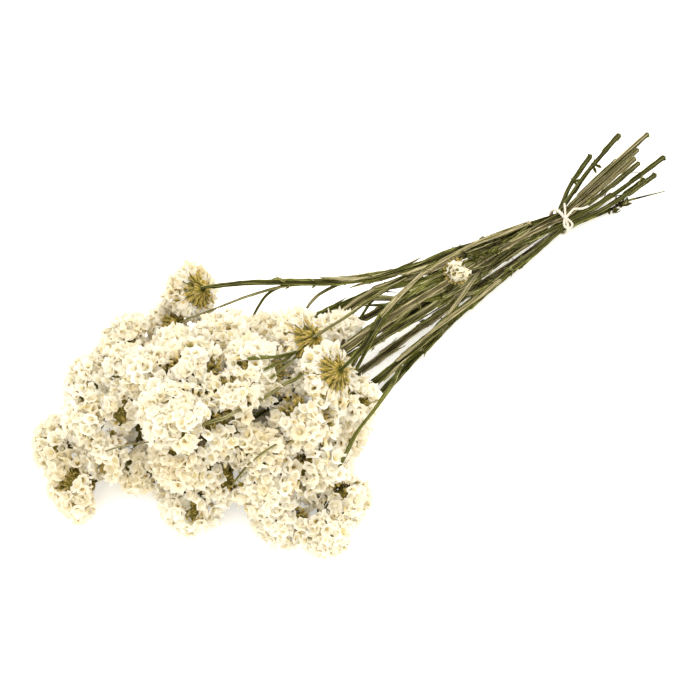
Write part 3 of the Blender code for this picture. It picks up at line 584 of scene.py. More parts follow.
def head_limits(heads, points, radii, rows, owners):
    """Give the flat planes that keep each head clear of its neighbours, the stems and the surface.

    Each plane is a unit direction and a distance from the head's middle. A head whose every corner
    is short of its planes clears what stands beyond them, because that lies wholly on the far side.
    """
    middles, sizes, axes, _ = heads
    starts, ends, _, head_of, last = segments_of(rows, owners)
    stars = [bract_star(heads, k) for k in range(len(middles))]
    limits = []
    for k, middle in enumerate(middles):
        planes = [(-UP, middle[2]), (-axes[k, 2], HEAD_BASE * sizes[k])]
        offsets = middles - middle
        spans = np.linalg.norm(offsets, axis=1)
        for other in np.flatnonzero((spans > 0) & (spans < NEIGHBOUR_SPAN)):
            way = offsets[other] / spans[other]
            mine = head_reach(axes[k], sizes[k], way)
            theirs = head_reach(axes[other], sizes[other], -way)
            planes.append((way, spans[other] * mine / (mine + theirs) - 0.5 * GAP))
            corners = stars[other] - middle
            tries = unit(np.vstack([corners, corners.mean(axis=0), corners[:-1].mean(axis=0)]))
            tries = np.vstack([tries, -axes[other, 2], axes[other, 2], unit(tries[-1] - axes[other, 2])])
            depths = (tries @ corners.T).min(axis=1) - GAP
            best = int(np.argmax(depths))
            planes.append((tries[best], depths[best]))
        p, q = points[starts] - middle, points[ends] - middle
        along = q - p
        share = np.clip(-(p * along).sum(-1) / (along * along).sum(-1), 0, 1)
        near = p + along * share[:, None]
        way = unit(near)
        depth = np.minimum((p * way).sum(-1) - radii[starts], (q * way).sum(-1) - radii[ends]) - GAP
        keep = (depth < STEM_NEAR_SHARE * sizes[k]) & ~((head_of == k) & last)
        planes += list(zip(way[keep], depth[keep]))
        limits.append((np.array([p[0] for p in planes]), np.array([p[1] for p in planes])))
    return limits

limits = head_limits(heads, points, radii, rows, owners)
print(f"{sum(len(depths) for _, depths in limits)} planes round {len(limits)} heads")

# %% [markdown]
# A few leafy teeth stand off each stem where it forks. Each one tries several ways round the stem
# until it finds a way that is free, as a leaf grows into the space that is left.

# %% Find room for the leafy teeth
def tooth_fits(root, tip, lines, heads):
    """Tell whether a tooth from root to tip is clear of other stems' lines and of the heads."""
    p, q, thick_p, thick_q = lines
    s, t = nearest_shares(root[None], tip[None], p, q)
    here = root + s[:, None] * (tip - root)
    there = p + t[:, None] * (q - p)
    room = np.linalg.norm(here - there, axis=1) - thick_p * (1 - t) - thick_q * t
    needed = np.where(s > BLADE_FOOT, BLADE_WIDTH / 2 + GAP, 0.5 * BLADE_THICKNESS + GAP)
    middles, sizes, axes, _ = heads
    offset = tip - middles
    above = np.linalg.norm(offset, axis=1) - head_reach(axes, sizes, unit(offset))
    return bool((room > needed).all() and (above > BLADE_WIDTH).all() and tip[2] > BLADE_WIDTH / 2)


def plan_blades(heads, points, radii, rows, owners):
    """Find room for the small leafy teeth of each stem: the stem, root, way, length and flat of each.

    A tooth stands off its stem towards the heads. It turns round the stem, and gets shorter, until
    it is clear of the other stems and of the heads, and is left out where there is no room.
    """
    starts, ends, stem, _, _ = segments_of(rows, owners)
    blades = []
    tries = [(length, turn) for length in BLADE_LENGTHS for turn in BLADE_TURNS]
    for row, (owner, _) in zip(rows, owners):
        if len(row) <= BLADE_STATIONS[-1]:
            continue
        others = stem != owner
        one, two = starts[others], ends[others]
        lines = points[one], points[two], radii[one], radii[two]
        for station in BLADE_STATIONS:
            root = points[row[station]]
            along = unit(points[row[station + 1]] - root)
            side, lift = across(along)
            for length, turn in tries:
                off = math.cos(turn) * lift + math.sin(turn) * side
                way = unit(along + BLADE_SPREAD * off)
                if tooth_fits(root, root + way * length, lines, heads):
                    blades.append((owner, root, way, length, square_to(off, way)))
                    break
    return blades

blades = plan_blades(heads, points, radii, rows, owners)
print(f"{len(blades)} leafy teeth")

# %% [markdown]
# ## Tools for surfaces
#
# A piece is made of shells. Each shell is a block of points, the faces between them, and one number
# per point for each thing the finish needs to know, such as how near the rim a point lies. Numpy
# works on whole blocks, so hundreds of calyces are made at once. Stems, tendrils and string are
# rings round a line, and leaves and loose strips are five points across one.

# %% Grids, rings, strips and pieces
ACROSS = np.array([-0.5, -0.25, 0.0, 0.25, 0.5])
# Where papery rims and twigs pass the solids' box, only this share of what passes it is kept.
STANDS_PROUD = 0.25


def grid_faces(rows_count, around, closed):
    """Give the quads of a grid of rows_count by around points, closed round each row or open."""
    row = np.arange(rows_count - 1)[:, None] * around
    col = np.arange(around if closed else around - 1)[None]
    beside = (col + 1) % around
    return np.stack([row + col, row + beside, row + around + beside, row + around + col], -1).reshape(-1, 4)


def repeat_faces(faces, points_each, count):
    """Repeat the faces of one shape for count shapes whose points follow each other."""
    return (faces[None] + (np.arange(count) * points_each)[:, None, None]).reshape(-1, faces.shape[1])


def rings_round(line, sides, ups, radius, angle):
    """Set a ring round each point: radius cos(angle) along one side, radius sin(angle) along the other."""
    return (line[:, None] + (radius * np.cos(angle))[..., None] * sides[:, None]
            + (radius * np.sin(angle))[..., None] * ups[:, None])


def tube_shell(rings, rim, age, along, around):
    """Make a shell of rings, with the numbers that the stem's finish reads."""
    each = rings.shape[1]
    fields = {"rim": rim, "age": age, "along": np.repeat(along, each), "around": around}
    return rings, grid_faces(len(rings), each, True), fields, 0


def strip_points(line, broad, wide):
    """Set five points across each point of a line, over a breadth along a wide way."""
    return line[:, None] + (broad[:, None] * ACROSS)[..., None] * wide[:, None]


def strip_shell(spots, rim, age, along, streaks=1.0):
    """Make a shell of a strip, with the numbers that the stem's finish reads."""
    around = np.tile(streaks * ACROSS, len(spots))
    fields = {"rim": rim, "age": age, "along": np.repeat(along, 5), "around": around}
    return spots, grid_faces(len(spots), 5, False), fields, 0


def make_piece(name, shells, finishes, slot, *replaced):
    """Join shells as one mesh. A shell is its points in mm, faces, numbers by point and finish."""
    blocks = [spots.reshape(-1, 3) for spots, *_ in shells]
    starts = np.cumsum([0] + [len(block) for block in blocks])
    places = (np.vstack(blocks) - MIDDLE) * MM
    inside = np.clip(places, *cad_box)
    places = inside + STANDS_PROUD * (places - inside)
    places[:, 2] = np.maximum(places[:, 2], 0.0)
    loops = np.concatenate([(faces + start).ravel() for (_, faces, _, _), start in zip(shells, starts)])
    corners = np.concatenate([np.full(len(faces), faces.shape[1]) for _, faces, _, _ in shells])
    finish_of = np.concatenate([np.full(len(faces), number) for _, faces, _, number in shells])
    mesh = bpy.data.meshes.new(name)
    mesh.vertices.add(len(places))
    mesh.vertices.foreach_set("co", places.ravel())
    mesh.loops.add(len(loops))
    mesh.loops.foreach_set("vertex_index", loops.astype(np.int32))
    mesh.polygons.add(len(corners))
    mesh.polygons.foreach_set("loop_start", np.concatenate([[0], np.cumsum(corners)[:-1]]).astype(np.int32))
    for finish in finishes:
        mesh.materials.append(finish)
    mesh.polygons.foreach_set("material_index", finish_of.astype(np.int32))
    mesh.polygons.foreach_set("use_smooth", np.full(len(corners), True))
    for field in sorted({field for _, _, fields, _ in shells for field in fields}):
        numbers = [np.broadcast_to(fields.get(field, 0.0), len(block))
                   for (_, _, fields, _), block in zip(shells, blocks)]
        layer = mesh.attributes.new(field, "FLOAT", "POINT")
        layer.data.foreach_set("value", np.concatenate(numbers).astype(np.float32))
    mesh.update(calc_edges=True)
    mesh.validate()
    piece = bpy.data.objects.new(name, mesh)
    bpy.context.scene.collection.objects.link(piece)
    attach(piece, "root")
    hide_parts(*replaced)
    return piece


def triangles_in(piece):
    """Count the triangles that a piece's faces split into."""
    return sum(len(face.vertices) - 2 for face in piece.data.polygons)


print(f"strips are {len(ACROSS)} points wide")

# %% [markdown]
# ## Tools for finishes
#
# Colours are the familiar sRGB hex codes, turned to the linear light that Blender calculates with.
# One small function adds a node, and a few shorter ones use it for what every finish here needs: a
# number that the mesh carries, a colour ramp over it, a mix of two colours, noise and fine bumps.

# %% Colours and nodes
BUMP_HEIGHT = 0.4 * MM


def linear(code):
    """Turn a hex colour to linear light.

    A channel c up to 0.04045 is divided by 12.92. Above that it is ((c + 0.055) / 1.055) ** 2.4.
    """
    channels = np.array([int(code[k : k + 2], 16) for k in (1, 3, 5)]) / 255
    light = np.where(channels <= 0.04045, channels / 12.92, ((channels + 0.055) / 1.055) ** 2.4)
    return (*light.tolist(), 1.0)


def add_node(tree, kind, fields=None, values=None, links=None):
    """Add one node with its own fields, its sockets' values and its links."""
    node = tree.nodes.new(kind)
    for field, value in (fields or {}).items():
        setattr(node, field, value)
    for socket, value in (values or {}).items():
        node.inputs[socket].default_value = value
    for socket, source in (links or {}).items():
        tree.links.new(source, node.inputs[socket])
    return node


def new_finish(name, roughness, specular):
    """Start a material. Returns it, its node tree and its main shader."""
    finish = bpy.data.materials.new(name)
    finish.use_nodes = True
    shader = finish.node_tree.nodes["Principled BSDF"]
    shader.inputs["Roughness"].default_value = roughness
    shader.inputs["Specular IOR Level"].default_value = specular
    return finish, finish.node_tree, shader


def carried(tree, name):
    """Read a number that the mesh carries at its points."""
    return add_node(tree, "ShaderNodeAttribute", {"attribute_name": name}).outputs["Fac"]


def ramp(tree, source, *stops):
    """Turn a number to a colour: each stop is a place from 0 to 1 and a hex colour, in rising order."""
    node = add_node(tree, "ShaderNodeValToRGB", links={"Fac": source})
    elements = node.color_ramp.elements
    for k, (place, code) in enumerate(stops):
        stop = elements[k] if k < 2 else elements.new(place)
        stop.position = place
        stop.color = linear(code)
    return node.outputs["Color"]


def mix(tree, share, first, second):
    """Mix two colours by a share. Sockets 0, 6 and 7 of the node are its share and its colours."""
    node = add_node(tree, "ShaderNodeMix", {"data_type": "RGBA"}, links={0: share, 6: first, 7: second})
    return node.outputs[2]


def times(tree, first, second):
    """Multiply two colours."""
    fields = {"data_type": "RGBA", "blend_type": "MULTIPLY"}
    return add_node(tree, "ShaderNodeMix", fields, {0: 1.0}, {6: first, 7: second}).outputs[2]


def noise(tree, where, scale, detail, roughness=0.5):
    """Read cloudy noise at a place."""
    values = {"Scale": scale, "Detail": detail, "Roughness": roughness}
    return add_node(tree, "ShaderNodeTexNoise", values=values, links={"Vector": where}).outputs["Fac"]


def bumps(tree, shader, height, strength):
    """Let a number raise fine bumps on a shader's surface."""
    values = {"Strength": strength, "Distance": BUMP_HEIGHT}
    node = add_node(tree, "ShaderNodeBump", values=values, links={"Height": height})
    tree.links.new(node.outputs["Normal"], shader.inputs["Normal"])


# %% [markdown]
# ## Finishes
#
# A dried calyx is paper-thin, dry and matt, white at its rim and straw-yellow in its throat, and it
# lets light through, so its shader is half matt surface and half light passing through. The number
# `rim` runs from 0 in the throat to 1 at the rim and picks the colour. `age` yellows some calyces.
#
# The bracts under a head are dry scales, olive at their foot and straw-gold at their tip. The stems
# are olive, with painted shade that darkens the valleys between their wings, and greyer where the
# skin has worn. Their streaks run along them, because the noise is read in the stem's own
# measures: millimetres along it, and steps round it.

# %% Four finishes
# Crinkles of the paper in a metre, so that one is about 1.1 mm.
CRINKLES = 900.0
# Noise cells in a millimetre along a stem, in a step round it, and from one stem to another. A
# streak is 20 mm long and a worn patch 40 mm.
STREAK_SCALE = (0.05, 9.0, 12.0)
PATCH_SCALE = (0.025, 1.6, 31.0)
# A stem's own age adds this much to the worn patches, and these sums are where the grey begins and ends.
AGE_WEIGHT = 0.24
WORN_FROM = 0.66
WORN_TO = 0.76


def papery_calyx():
    """Dried calyx: dry, matt and see-through like tissue, with colour that follows rim and age."""
    finish, tree, shader = new_finish("papery_calyx", 0.75, 0.25)
    rim = carried(tree, "rim")
    fresh = ramp(tree, rim, (0.0, "#8A6A2E"), (0.14, "#D9B55A"), (0.36, "#F3E9BC"), (0.66, "#FBF8E8"),
                 (1.0, "#FEFDF8"))
    aged = ramp(tree, rim, (0.0, "#6B5526"), (0.30, "#D6C07A"), (0.65, "#EADCB0"), (1.0, "#F2E8CA"))
    tone = mix(tree, carried(tree, "age"), fresh, aged)
    tree.links.new(tone, shader.inputs["Base Color"])
    where = add_node(tree, "ShaderNodeTexCoord").outputs["Object"]
    bumps(tree, shader, noise(tree, where, CRINKLES, 3.0), 0.25)
    through = add_node(tree, "ShaderNodeBsdfTranslucent", links={"Color": tone})
    both = add_node(tree, "ShaderNodeMixShader", values={0: 0.5},
                    links={1: shader.outputs["BSDF"], 2: through.outputs["BSDF"]})
    tree.links.new(both.outputs["Shader"], tree.nodes["Material Output"].inputs["Surface"])
    return finish


def bract_scale():
    """Dried bract: matt, olive to straw-gold from foot to tip, some scales greyer than others."""
    finish, tree, shader = new_finish("bract_scale", 0.8, 0.15)
    tip = carried(tree, "rim")
    gold = ramp(tree, tip, (0.0, "#5F5A22"), (0.35, "#9A8C3E"), (0.75, "#C9AE60"), (1.0, "#E6CC9C"))
    grey = ramp(tree, tip, (0.0, "#45421A"), (0.5, "#8C8444"), (1.0, "#CDB88F"))
    tree.links.new(mix(tree, carried(tree, "age"), gold, grey), shader.inputs["Base Color"])
    return finish


def winged_stem():
    """Dried herb stem: matt, olive, with painted shade in the valleys between the wings, fine streaks and
    worn grey patches.
    """
    finish, tree, shader = new_finish("winged_stem", 0.8, 0.15)
    age = carried(tree, "age")
    where = add_node(tree, "ShaderNodeCombineXYZ",
                     links={"X": carried(tree, "along"), "Y": carried(tree, "around"), "Z": age})
    places = {"Vector": where.outputs["Vector"]}
    streaks, patches = (add_node(tree, "ShaderNodeMapping", values={"Scale": scale}, links=places)
                        for scale in (STREAK_SCALE, PATCH_SCALE))
    streak = noise(tree, streaks.outputs["Vector"], 1.0, 4.0, 0.6)
    worn = noise(tree, patches.outputs["Vector"], 1.0, 3.0)
    olive = ramp(tree, streak, (0.42, "#100F01"), (0.54, "#5E5F1B"), (0.665, "#C6CA9C"))
    grey = ramp(tree, streak, (0.38, "#38351F"), (0.51, "#A9A696"), (0.65, "#EBEAE2"))
    by_stem = add_node(tree, "ShaderNodeMath", {"operation": "MULTIPLY_ADD"}, {1: AGE_WEIGHT},
                       {0: age, 2: worn})
    share = add_node(tree, "ShaderNodeMapRange", values={"From Min": WORN_FROM, "From Max": WORN_TO},
                     links={"Value": by_stem.outputs["Value"]})
    tone = mix(tree, share.outputs["Result"], olive, grey)
    # Painted shade: the valleys between the wings are darkened, and the colour lightens out to the wing
    # edges.
    painted_valley_shade = ramp(tree, carried(tree, "rim"), (0.36, "#85816A"), (0.60, "#E4E1CE"), (1.0, "#FFFFF4"))
    own_tint = ramp(tree, age, (0.0, "#EEF2CA"), (0.45, "#FFFFE2"), (1.0, "#FFF6E2"))
    tree.links.new(times(tree, times(tree, tone, painted_valley_shade), own_tint), shader.inputs["Base Color"])
    bumps(tree, shader, streak, 0.5)
    return finish


def cotton_string():
    """Twisted cotton: off-white, very matt, with painted shade between the strands."""
    finish, tree, shader = new_finish("cotton_string", 0.9, 0.5)
    # Painted shade: the grooves between the strands are darkened.
    tone = ramp(tree, carried(tree, "rim"), (0.0, "#A79C8C"), (0.5, "#DDD5C8"), (1.0, "#F0EBE2"))
    tree.links.new(tone, shader.inputs["Base Color"])
    return finish


PAPER, BRACT, GREEN, STRING = papery_calyx(), bract_scale(), winged_stem(), cotton_string()
print("finishes:", ", ".join(finish.name for finish in (PAPER, BRACT, GREEN, STRING)))

# %% [markdown]
# ## One calyx
#
# A calyx is a trumpet: a narrow tube that opens into a wide papery limb. Ten soft pleats run down
# from the rim and five lobes rise from it. Slower waves bend it out of round, because dry calyces
# crumple, and most are squeezed flat to one side or the other. Four rings of twenty points are
# enough for that, because every second point is a pleat's ridge. They are shaded smoothly, so the
# folds look as soft as they do in tissue.

# %% Shape of the calyces
# The four rings: their shares of the mouth's radius and of the length, from foot to rim.
CALYX_WIDTHS = np.array([0.16, 0.34, 0.74, 1.0])
CALYX_HEIGHTS = np.array([0.0, 0.74, 0.93, 1.0])
CALYX_AROUND = 20
CALYX_LENGTH = 9.0
CALYX_MOUTH = 6.2
# Shares of the radius by which pleats and lobes stand out, and the rim's random tears.
PLEAT_DEPTH = 0.05
LOBE_DEPTH = 0.10
TEAR_DEPTH = 0.05
# How far the rim rises, in millimetres, by pleats, lobes and slow waves.
RUFFLE = 0.30
LOBE_RISE = 0.75
CRUMPLE = 0.80
MOST_SQUEEZE = 0.50
# How much the sides of a squeezed calyx bend up, for each square millimetre out from its middle.
SQUEEZE_BEND = 0.10


def funnels(count, random):
    """Give count trumpets. Their radius and height follow the two rows above, ring by ring.

    Every second point of a ring stands out and up by a pleat. Five lobes and small random tears
    change the radius by the square of the ring's width. Lobes, and waves of two and three turns,
    lift the rim by its cube. The whole trumpet is then squeezed along one random direction across
    it, to no less than half of its width.
    """
    open_share = CALYX_WIDTHS[None, :, None]
    turn = 2 * np.pi * np.arange(CALYX_AROUND)[None, None] / CALYX_AROUND
    ridge = np.where(np.arange(CALYX_AROUND) % 2 == 0, 1.0, -1.0)[None, None]
    mouth = CALYX_MOUTH * random.uniform(0.78, 1.14, (count, 1, 1))
    length = CALYX_LENGTH * random.uniform(0.88, 1.12, (count, 1, 1))
    phase = random.uniform(0, 2 * np.pi, (count, 1, 1))
    lobes = np.cos(5 * turn + phase)
    bent = np.cos(2 * turn + 3 * phase) + np.cos(3 * turn + 7 * phase)
    radius = mouth * open_share * (1 + PLEAT_DEPTH * open_share * ridge)
    tears = TEAR_DEPTH * random.uniform(-1, 1, lobes.shape)
    radius = radius * (1 + open_share**2 * (LOBE_DEPTH * lobes + tears))
    height = length * CALYX_HEIGHTS[None, :, None]
    height = height + open_share**3 * (RUFFLE * ridge + LOBE_RISE * lobes + CRUMPLE * bent)
    x, y = radius * np.cos(turn), radius * np.sin(turn)
    squeeze = 1 - random.uniform(0, MOST_SQUEEZE, (count, 1, 1))
    x = x * squeeze
    height = height + SQUEEZE_BEND * (1 - squeeze) * x**2
    spin = random.uniform(0, 2 * np.pi, (count, 1, 1))
    return np.stack([x * np.cos(spin) - y * np.sin(spin), x * np.sin(spin) + y * np.cos(spin), height], -1)


def frames_along(ways):
    """Give two unit vectors square to each way: the first level where it can be."""
    near = np.where(np.abs(ways[:, 2:]) > 0.95, [[1.0, 0.0, 0.0]], [[0.0, 0.0, 1.0]])
    sides = unit(np.cross(near, ways))
    return sides, np.cross(ways, sides)


def set_out(shape, feet, ways):
    """Carry shapes drawn round Z to their feet, turned to their ways."""
    sides, ups = frames_along(ways)
    lead = (slice(None),) + (None,) * (shape.ndim - 2)
    x, y, z = shape[..., :1], shape[..., 1:2], shape[..., 2:]
    return feet[lead] + x * sides[lead] + y * ups[lead] + z * ways[lead]


# %% [markdown]
# ## One head of calyces
#
# Directions spread evenly over a ball by the golden angle give each calyx its place on the bun. The
# bun's skin is made lumpy by a few slow waves, because a head is made of small one-sided sprays.
# Where heads meet, their skins melt into each other over a few millimetres, so that the calyces
# cover the groove between them. This is a smooth minimum of the distances to the two skins. A small
# core of the same outline closes the view between the feet.
#
# In some places the calyces have broken off, or a side branch pushes them apart. There only a tuft
# of golden bracts is left, and the core shows. These partings are a list of places on the heads.
#
# The smallest head is a torn sprig of a few calyces that lies on the stems near the tie. It is drawn
# smaller than its solid and lowered, so that it rests on the stems below it.

# %% Calyces on a head
def bun_radius(ways):
    """Give the distance from the middle to the bun's skin along each direction, for a head of size one."""
    height = np.where(ways[:, 2] > 0, HEAD_HEIGHT, HEAD_DEPTH)
    parts = [ways[:, 0] / HEAD_HALF_WIDTH, ways[:, 1] / HEAD_HALF_DEPTH, ways[:, 2] / height]
    return 1.0 / np.sqrt(sum(part**2 for part in parts))


# Places on the heads, each along X, Y and Z, and how far round it the calyces are missing.
PARTINGS = np.array([
    (-163, 10, 108, 9), (-144, 13, 108, 6), (-137, -11, 111, 11), (-140, -32, 110, 6), (-216, 10, 74, 9),
    (-249, -8, 46, 8), (-268, 2, 43, 6), (-279, 0, 39, 8), (-159, -50, 96, 9), (-168, -78, 54, 10),
    (-201, -49, 83, 7), (-207, -76, 32, 8), (-103, -65, 85, 12), (-99, -128, 36, 8), (-136, -125, 29, 7),
    (-46, -87, 66, 7), (-83, -91, 77, 8), (-114, -100, 59, 8), (-97, -39, 102, 10), (-118, -26, 111, 7),
], dtype=float)
# Bracts in place of one missing calyx, and how far below its mouth they end.
TUFT = 7
TUFT_DEPTH = 2.5
CALYX_SPACING = 7.2
# Calyces stand in a loose triangle pattern, so each takes this share of the spacing's square.
PACKING = 0.87
LOWEST_CALYX = -0.52
# Random changes of a calyx's place and of the way it faces, and how much it turns to the head's top.
PLACE_WANDER = 0.05
AIM_WANDER = 0.38
AIM_UP = 0.25
# A mouth reaches these shares of the skin, and the skin's lumps rise no more than this.
MOUTH_REACH = (0.90, 1.03)
HIGHEST_LUMP = 1.05
# No calyx grows where less than this share of its way out is free, or where the skins melt too far.
FREE_SHARE = 0.86
FURTHEST_MELT = 1.5
# Over how many millimetres two skins melt, and how far calyces press past the flat planes.
MELT = 11.0
PRESS = 1.8
LUMP_WAVES = 4
LUMP_TURNS = 7.5
LUMP_SHARE = 0.095
# A head listed below this size is the torn sprig: its size, share of calyces, their size and drop.
SMALL_HEAD = 30.0
SMALL_REACH = 0.72
SMALL_COUNT = 0.75
SMALL_CALYX = 0.62
SMALL_DROP = np.array([2.6, 3.8, -6.5])
# The tone at a calyx's foot, as the finish reads it.
FOOT_TONE = 0.24
# Most calyces are white and few are yellowed, as a gamma curve of this shape and scale has it. One
# head in five is older as a whole.
AGE_CURVE = (1.2, 0.16)
OLD_HEADS = 0.2
OLD_AGE = 0.25
# The dried corolla in a calyx: its points, and the share of dark ones that have shrunk.
COROLLA_AROUND = 5
BROWN_SHARE = 0.22
# Single bracts among the calyces: the share of calyces with one, its slimness and its height, how
# far beside the middle of the mouth it stands, and how far above the mouth it ends.
AMONG_SHARE = 0.42
AMONG_SLIM = np.array([0.75, 0.75, 1.0])
AMONG_TALL = (4.2, 7.0)
AMONG_BESIDE = 2.6
AMONG_ABOVE = 0.9
GOLDEN_TURN = math.pi * (3.0 - math.sqrt(5.0))


def spread_ways(count):
    """Spread count directions over a ball: heights in equal steps, turned by the golden angle."""
    height = 1.0 - (np.arange(count) + 0.5) * 2.0 / count
    flat = np.sqrt(1.0 - height**2)
    angle = GOLDEN_TURN * np.arange(count)
    return np.column_stack([flat * np.cos(angle), flat * np.sin(angle), height])


def lumps(ways, random):
    """Give each direction a share near one: the mean of slow cosine waves over the ball."""
    axes_drawn = unit(random.normal(0, 1, (LUMP_WAVES, 3)))
    shifts = random.uniform(0, 2 * np.pi, LUMP_WAVES)
    waves = np.cos(LUMP_TURNS * ways @ axes_drawn.T + shifts)
    return 1 + LUMP_SHARE * waves.sum(axis=1) / math.sqrt(LUMP_WAVES / 2)


def melted_reach(k, rays, reach):
    """Move mouths along their rays onto the skin that a head shares with its neighbours.

    For distances a and b to two skins, and h = 0.5 + (b - a) / (2 M) kept between 0 and 1, the
    smooth minimum is h a + (1 - h) b - M h (1 - h). A few steps along the ray bring it to zero.
    """
    spans = np.linalg.norm(middles - middles[k], axis=1)
    near = np.flatnonzero((spans > 0) & (spans < NEIGHBOUR_SPAN))
    far = reach.copy()
    for _ in range(4):
        spots = middles[k] + rays * far[:, None]
        depth = far - reach
        for other in near:
            offset = spots - middles[other]
            span = np.linalg.norm(offset, axis=1)
            theirs = span - sizes[other] * bun_radius((offset / span[:, None]) @ axes[other].T)
            share = np.clip(0.5 + 0.5 * (theirs - depth) / MELT, 0, 1)
            depth = theirs * (1 - share) + depth * share - MELT * share * (1 - share)
        far = far - depth
    return far


def hold_back(spots, middle, planes, depths):
    """Draw points back along their rays from the middle, until none passes a plane."""
    shape = spots.shape
    offset = spots.reshape(-1, 3) - middle
    slope = offset @ planes.T
    share = np.where(slope > 1e-6, np.maximum(depths, SMALLEST_REACH) / np.maximum(slope, 1e-6), 1.0)
    share = np.minimum(share.min(axis=1), 1.0)
    return (middle + offset * share[:, None]).reshape(shape)


def calyx_places(k, random):
    """Choose where the calyces of one head stand: their rays, how far out, and how they lean."""
    middle, size, own = middles[k], sizes[k], axes[k]
    planes, depths = limits[k]
    skin = 4 * math.pi * (size * (HEAD_HALF_WIDTH + HEAD_HALF_DEPTH + HEAD_HEIGHT) / 3) ** 2
    ways = spread_ways(int(skin / (PACKING * CALYX_SPACING**2)))
    spin = random.uniform(0, 2 * math.pi)
    turn = np.array([[math.cos(spin), -math.sin(spin), 0], [math.sin(spin), math.cos(spin), 0], [0, 0, 1]])
    ways = unit((ways + random.normal(0, PLACE_WANDER, ways.shape)) @ turn.T)
    ways = ways[ways[:, 2] > LOWEST_CALYX]
    rays = ways @ own
    reach = size * bun_radius(ways) * np.minimum(lumps(ways, random), HIGHEST_LUMP)
    far = melted_reach(k, rays, reach) * random.uniform(*MOUTH_REACH, len(ways))
    slope = rays @ planes.T
    room = np.where(slope > 1e-6, (depths + PRESS) / np.maximum(slope, 1e-6), 1e6).min(axis=1)
    shown = (room > FREE_SHARE * far) & (far < FURTHEST_MELT * reach)
    if size < SMALL_HEAD:
        far = SMALL_REACH * far
        shown &= random.random(len(ways)) < SMALL_COUNT
    ways, rays = ways[shown], rays[shown]
    far = np.minimum(far, room)[shown]
    aims = unit(rays + AIM_UP * own[2] + random.normal(0, AIM_WANDER, rays.shape))
    spans = np.linalg.norm((middle + rays * far[:, None])[:, None] - PARTINGS[None, :, :3], axis=2)
    parted = (spans < PARTINGS[:, 3]).any(axis=1)
    return rays[~parted], far[~parted], aims[~parted], rays[parted], far[parted]


def head_shells(k):
    """Make the shells of one head: calyces, their dried corollas, bracts among them, core, fan."""
    random = np.random.default_rng(HEAD_SEED + k)
    middle = middles[k]
    planes, depths = limits[k]
    pressed = depths + PRESS * (np.arange(len(depths)) > 1)
    rays, far, aims, bare_rays, bare_far = calyx_places(k, random)
    count = len(rays)
    shape = funnels(count, random)
    if sizes[k] < SMALL_HEAD:
        shape = SMALL_CALYX * shape
    feet = middle + rays * far[:, None] - aims * shape[:, -1, :, 2].mean(axis=1)[:, None]
    paper = hold_back(set_out(shape, feet, aims), middle, planes, pressed)
    age = np.clip(random.gamma(*AGE_CURVE, count) + (OLD_AGE if random.random() < OLD_HEADS else 0.0), 0, 1)
    each = len(CALYX_HEIGHTS) * CALYX_AROUND
    tone = FOOT_TONE + (1 - FOOT_TONE) * CALYX_HEIGHTS
    rim = np.broadcast_to(tone[None, :, None], paper.shape[:3]).reshape(-1)
    faces = repeat_faces(grid_faces(len(CALYX_HEIGHTS), CALYX_AROUND, True), each, count)
    shells = [(paper, faces, {"rim": rim, "age": np.repeat(age, each)}, 0)]

    turns = 2 * np.pi * np.arange(COROLLA_AROUND) / COROLLA_AROUND
    brown = random.random(count) < BROWN_SHARE
    wide = np.where(brown, random.uniform(0.6, 1.2, count), random.uniform(1.5, 2.5, count))[:, None]
    deep = shape[:, 1, :1, 2] + random.uniform(0.6, 1.6, (count, 1))
    crinkled = wide * random.uniform(0.7, 1.3, (count, COROLLA_AROUND))
    cup = np.stack([crinkled * np.cos(turns), crinkled * np.sin(turns),
                    deep + random.uniform(-0.5, 0.5, (count, COROLLA_AROUND))], -1)
    tip = np.stack([0 * deep, 0 * deep, deep - 1.2], -1)
    corolla = hold_back(set_out(np.concatenate([cup, tip], axis=1), feet, aims), middle, planes, pressed)
    faces = np.array([[j, (j + 1) % COROLLA_AROUND, COROLLA_AROUND] for j in range(COROLLA_AROUND)])
    tone = np.where(brown, random.uniform(0.0, 0.2, count), random.uniform(0.36, 0.75, count))
    shells.append((corolla, repeat_faces(faces, COROLLA_AROUND + 1, count),
                   {"rim": np.repeat(tone, COROLLA_AROUND + 1), "age": 0.1}, 0))

    among = np.flatnonzero(random.random(count) < AMONG_SHARE)
    stands = np.vstack([aims[among], np.repeat(bare_rays, TUFT, axis=0)])
    tufts = np.repeat(bare_rays * (bare_far - TUFT_DEPTH)[:, None], TUFT, axis=0)
    tops = np.vstack([rays[among] * far[among, None], tufts])
    sides, ups = frames_along(stands)
    angle = random.uniform(0, 2 * np.pi, (len(stands), 1))
    beside = np.cos(angle) * sides + np.sin(angle) * ups
    leaning = unit(stands + random.uniform(0.2, 0.9, (len(stands), 1)) * beside)
    tall = random.uniform(*AMONG_TALL, len(stands))
    roots = middle + tops + AMONG_BESIDE * beside - leaning * (tall - AMONG_ABOVE)[:, None]
    scales = scale_shapes(len(stands), random)
    scales = scales * AMONG_SLIM * (tall / SCALE_LENGTH)[:, None, None, None]
    scales = hold_back(set_out(scales, roots, leaning), middle, planes, pressed)
    shells.append(scale_shell(scales, random.uniform(0, 1, len(stands))))
    shells.append(core_shell(k, random))
    shells.append(bract_shell(k, random))
    if sizes[k] < SMALL_HEAD:
        shells = [(np.asarray(spots) + SMALL_DROP, *rest) for spots, *rest in shells]
    return shells


# %% [markdown]
# Between the feet of the calyces one sees into a dull olive tangle of their stalks. A small lumpy
# bun stands for it, because only glimpses of it show.

# %% The core inside a head
CORE_ROWS = 9
CORE_AROUND = 18
# The core's share of the bun, and how much each point of it may change that.
CORE_SHARE = 0.60
CORE_LUMPS = (0.86, 1.05)
CORE_TONES = (0.0, 0.35)
CORE_AGE = 0.6


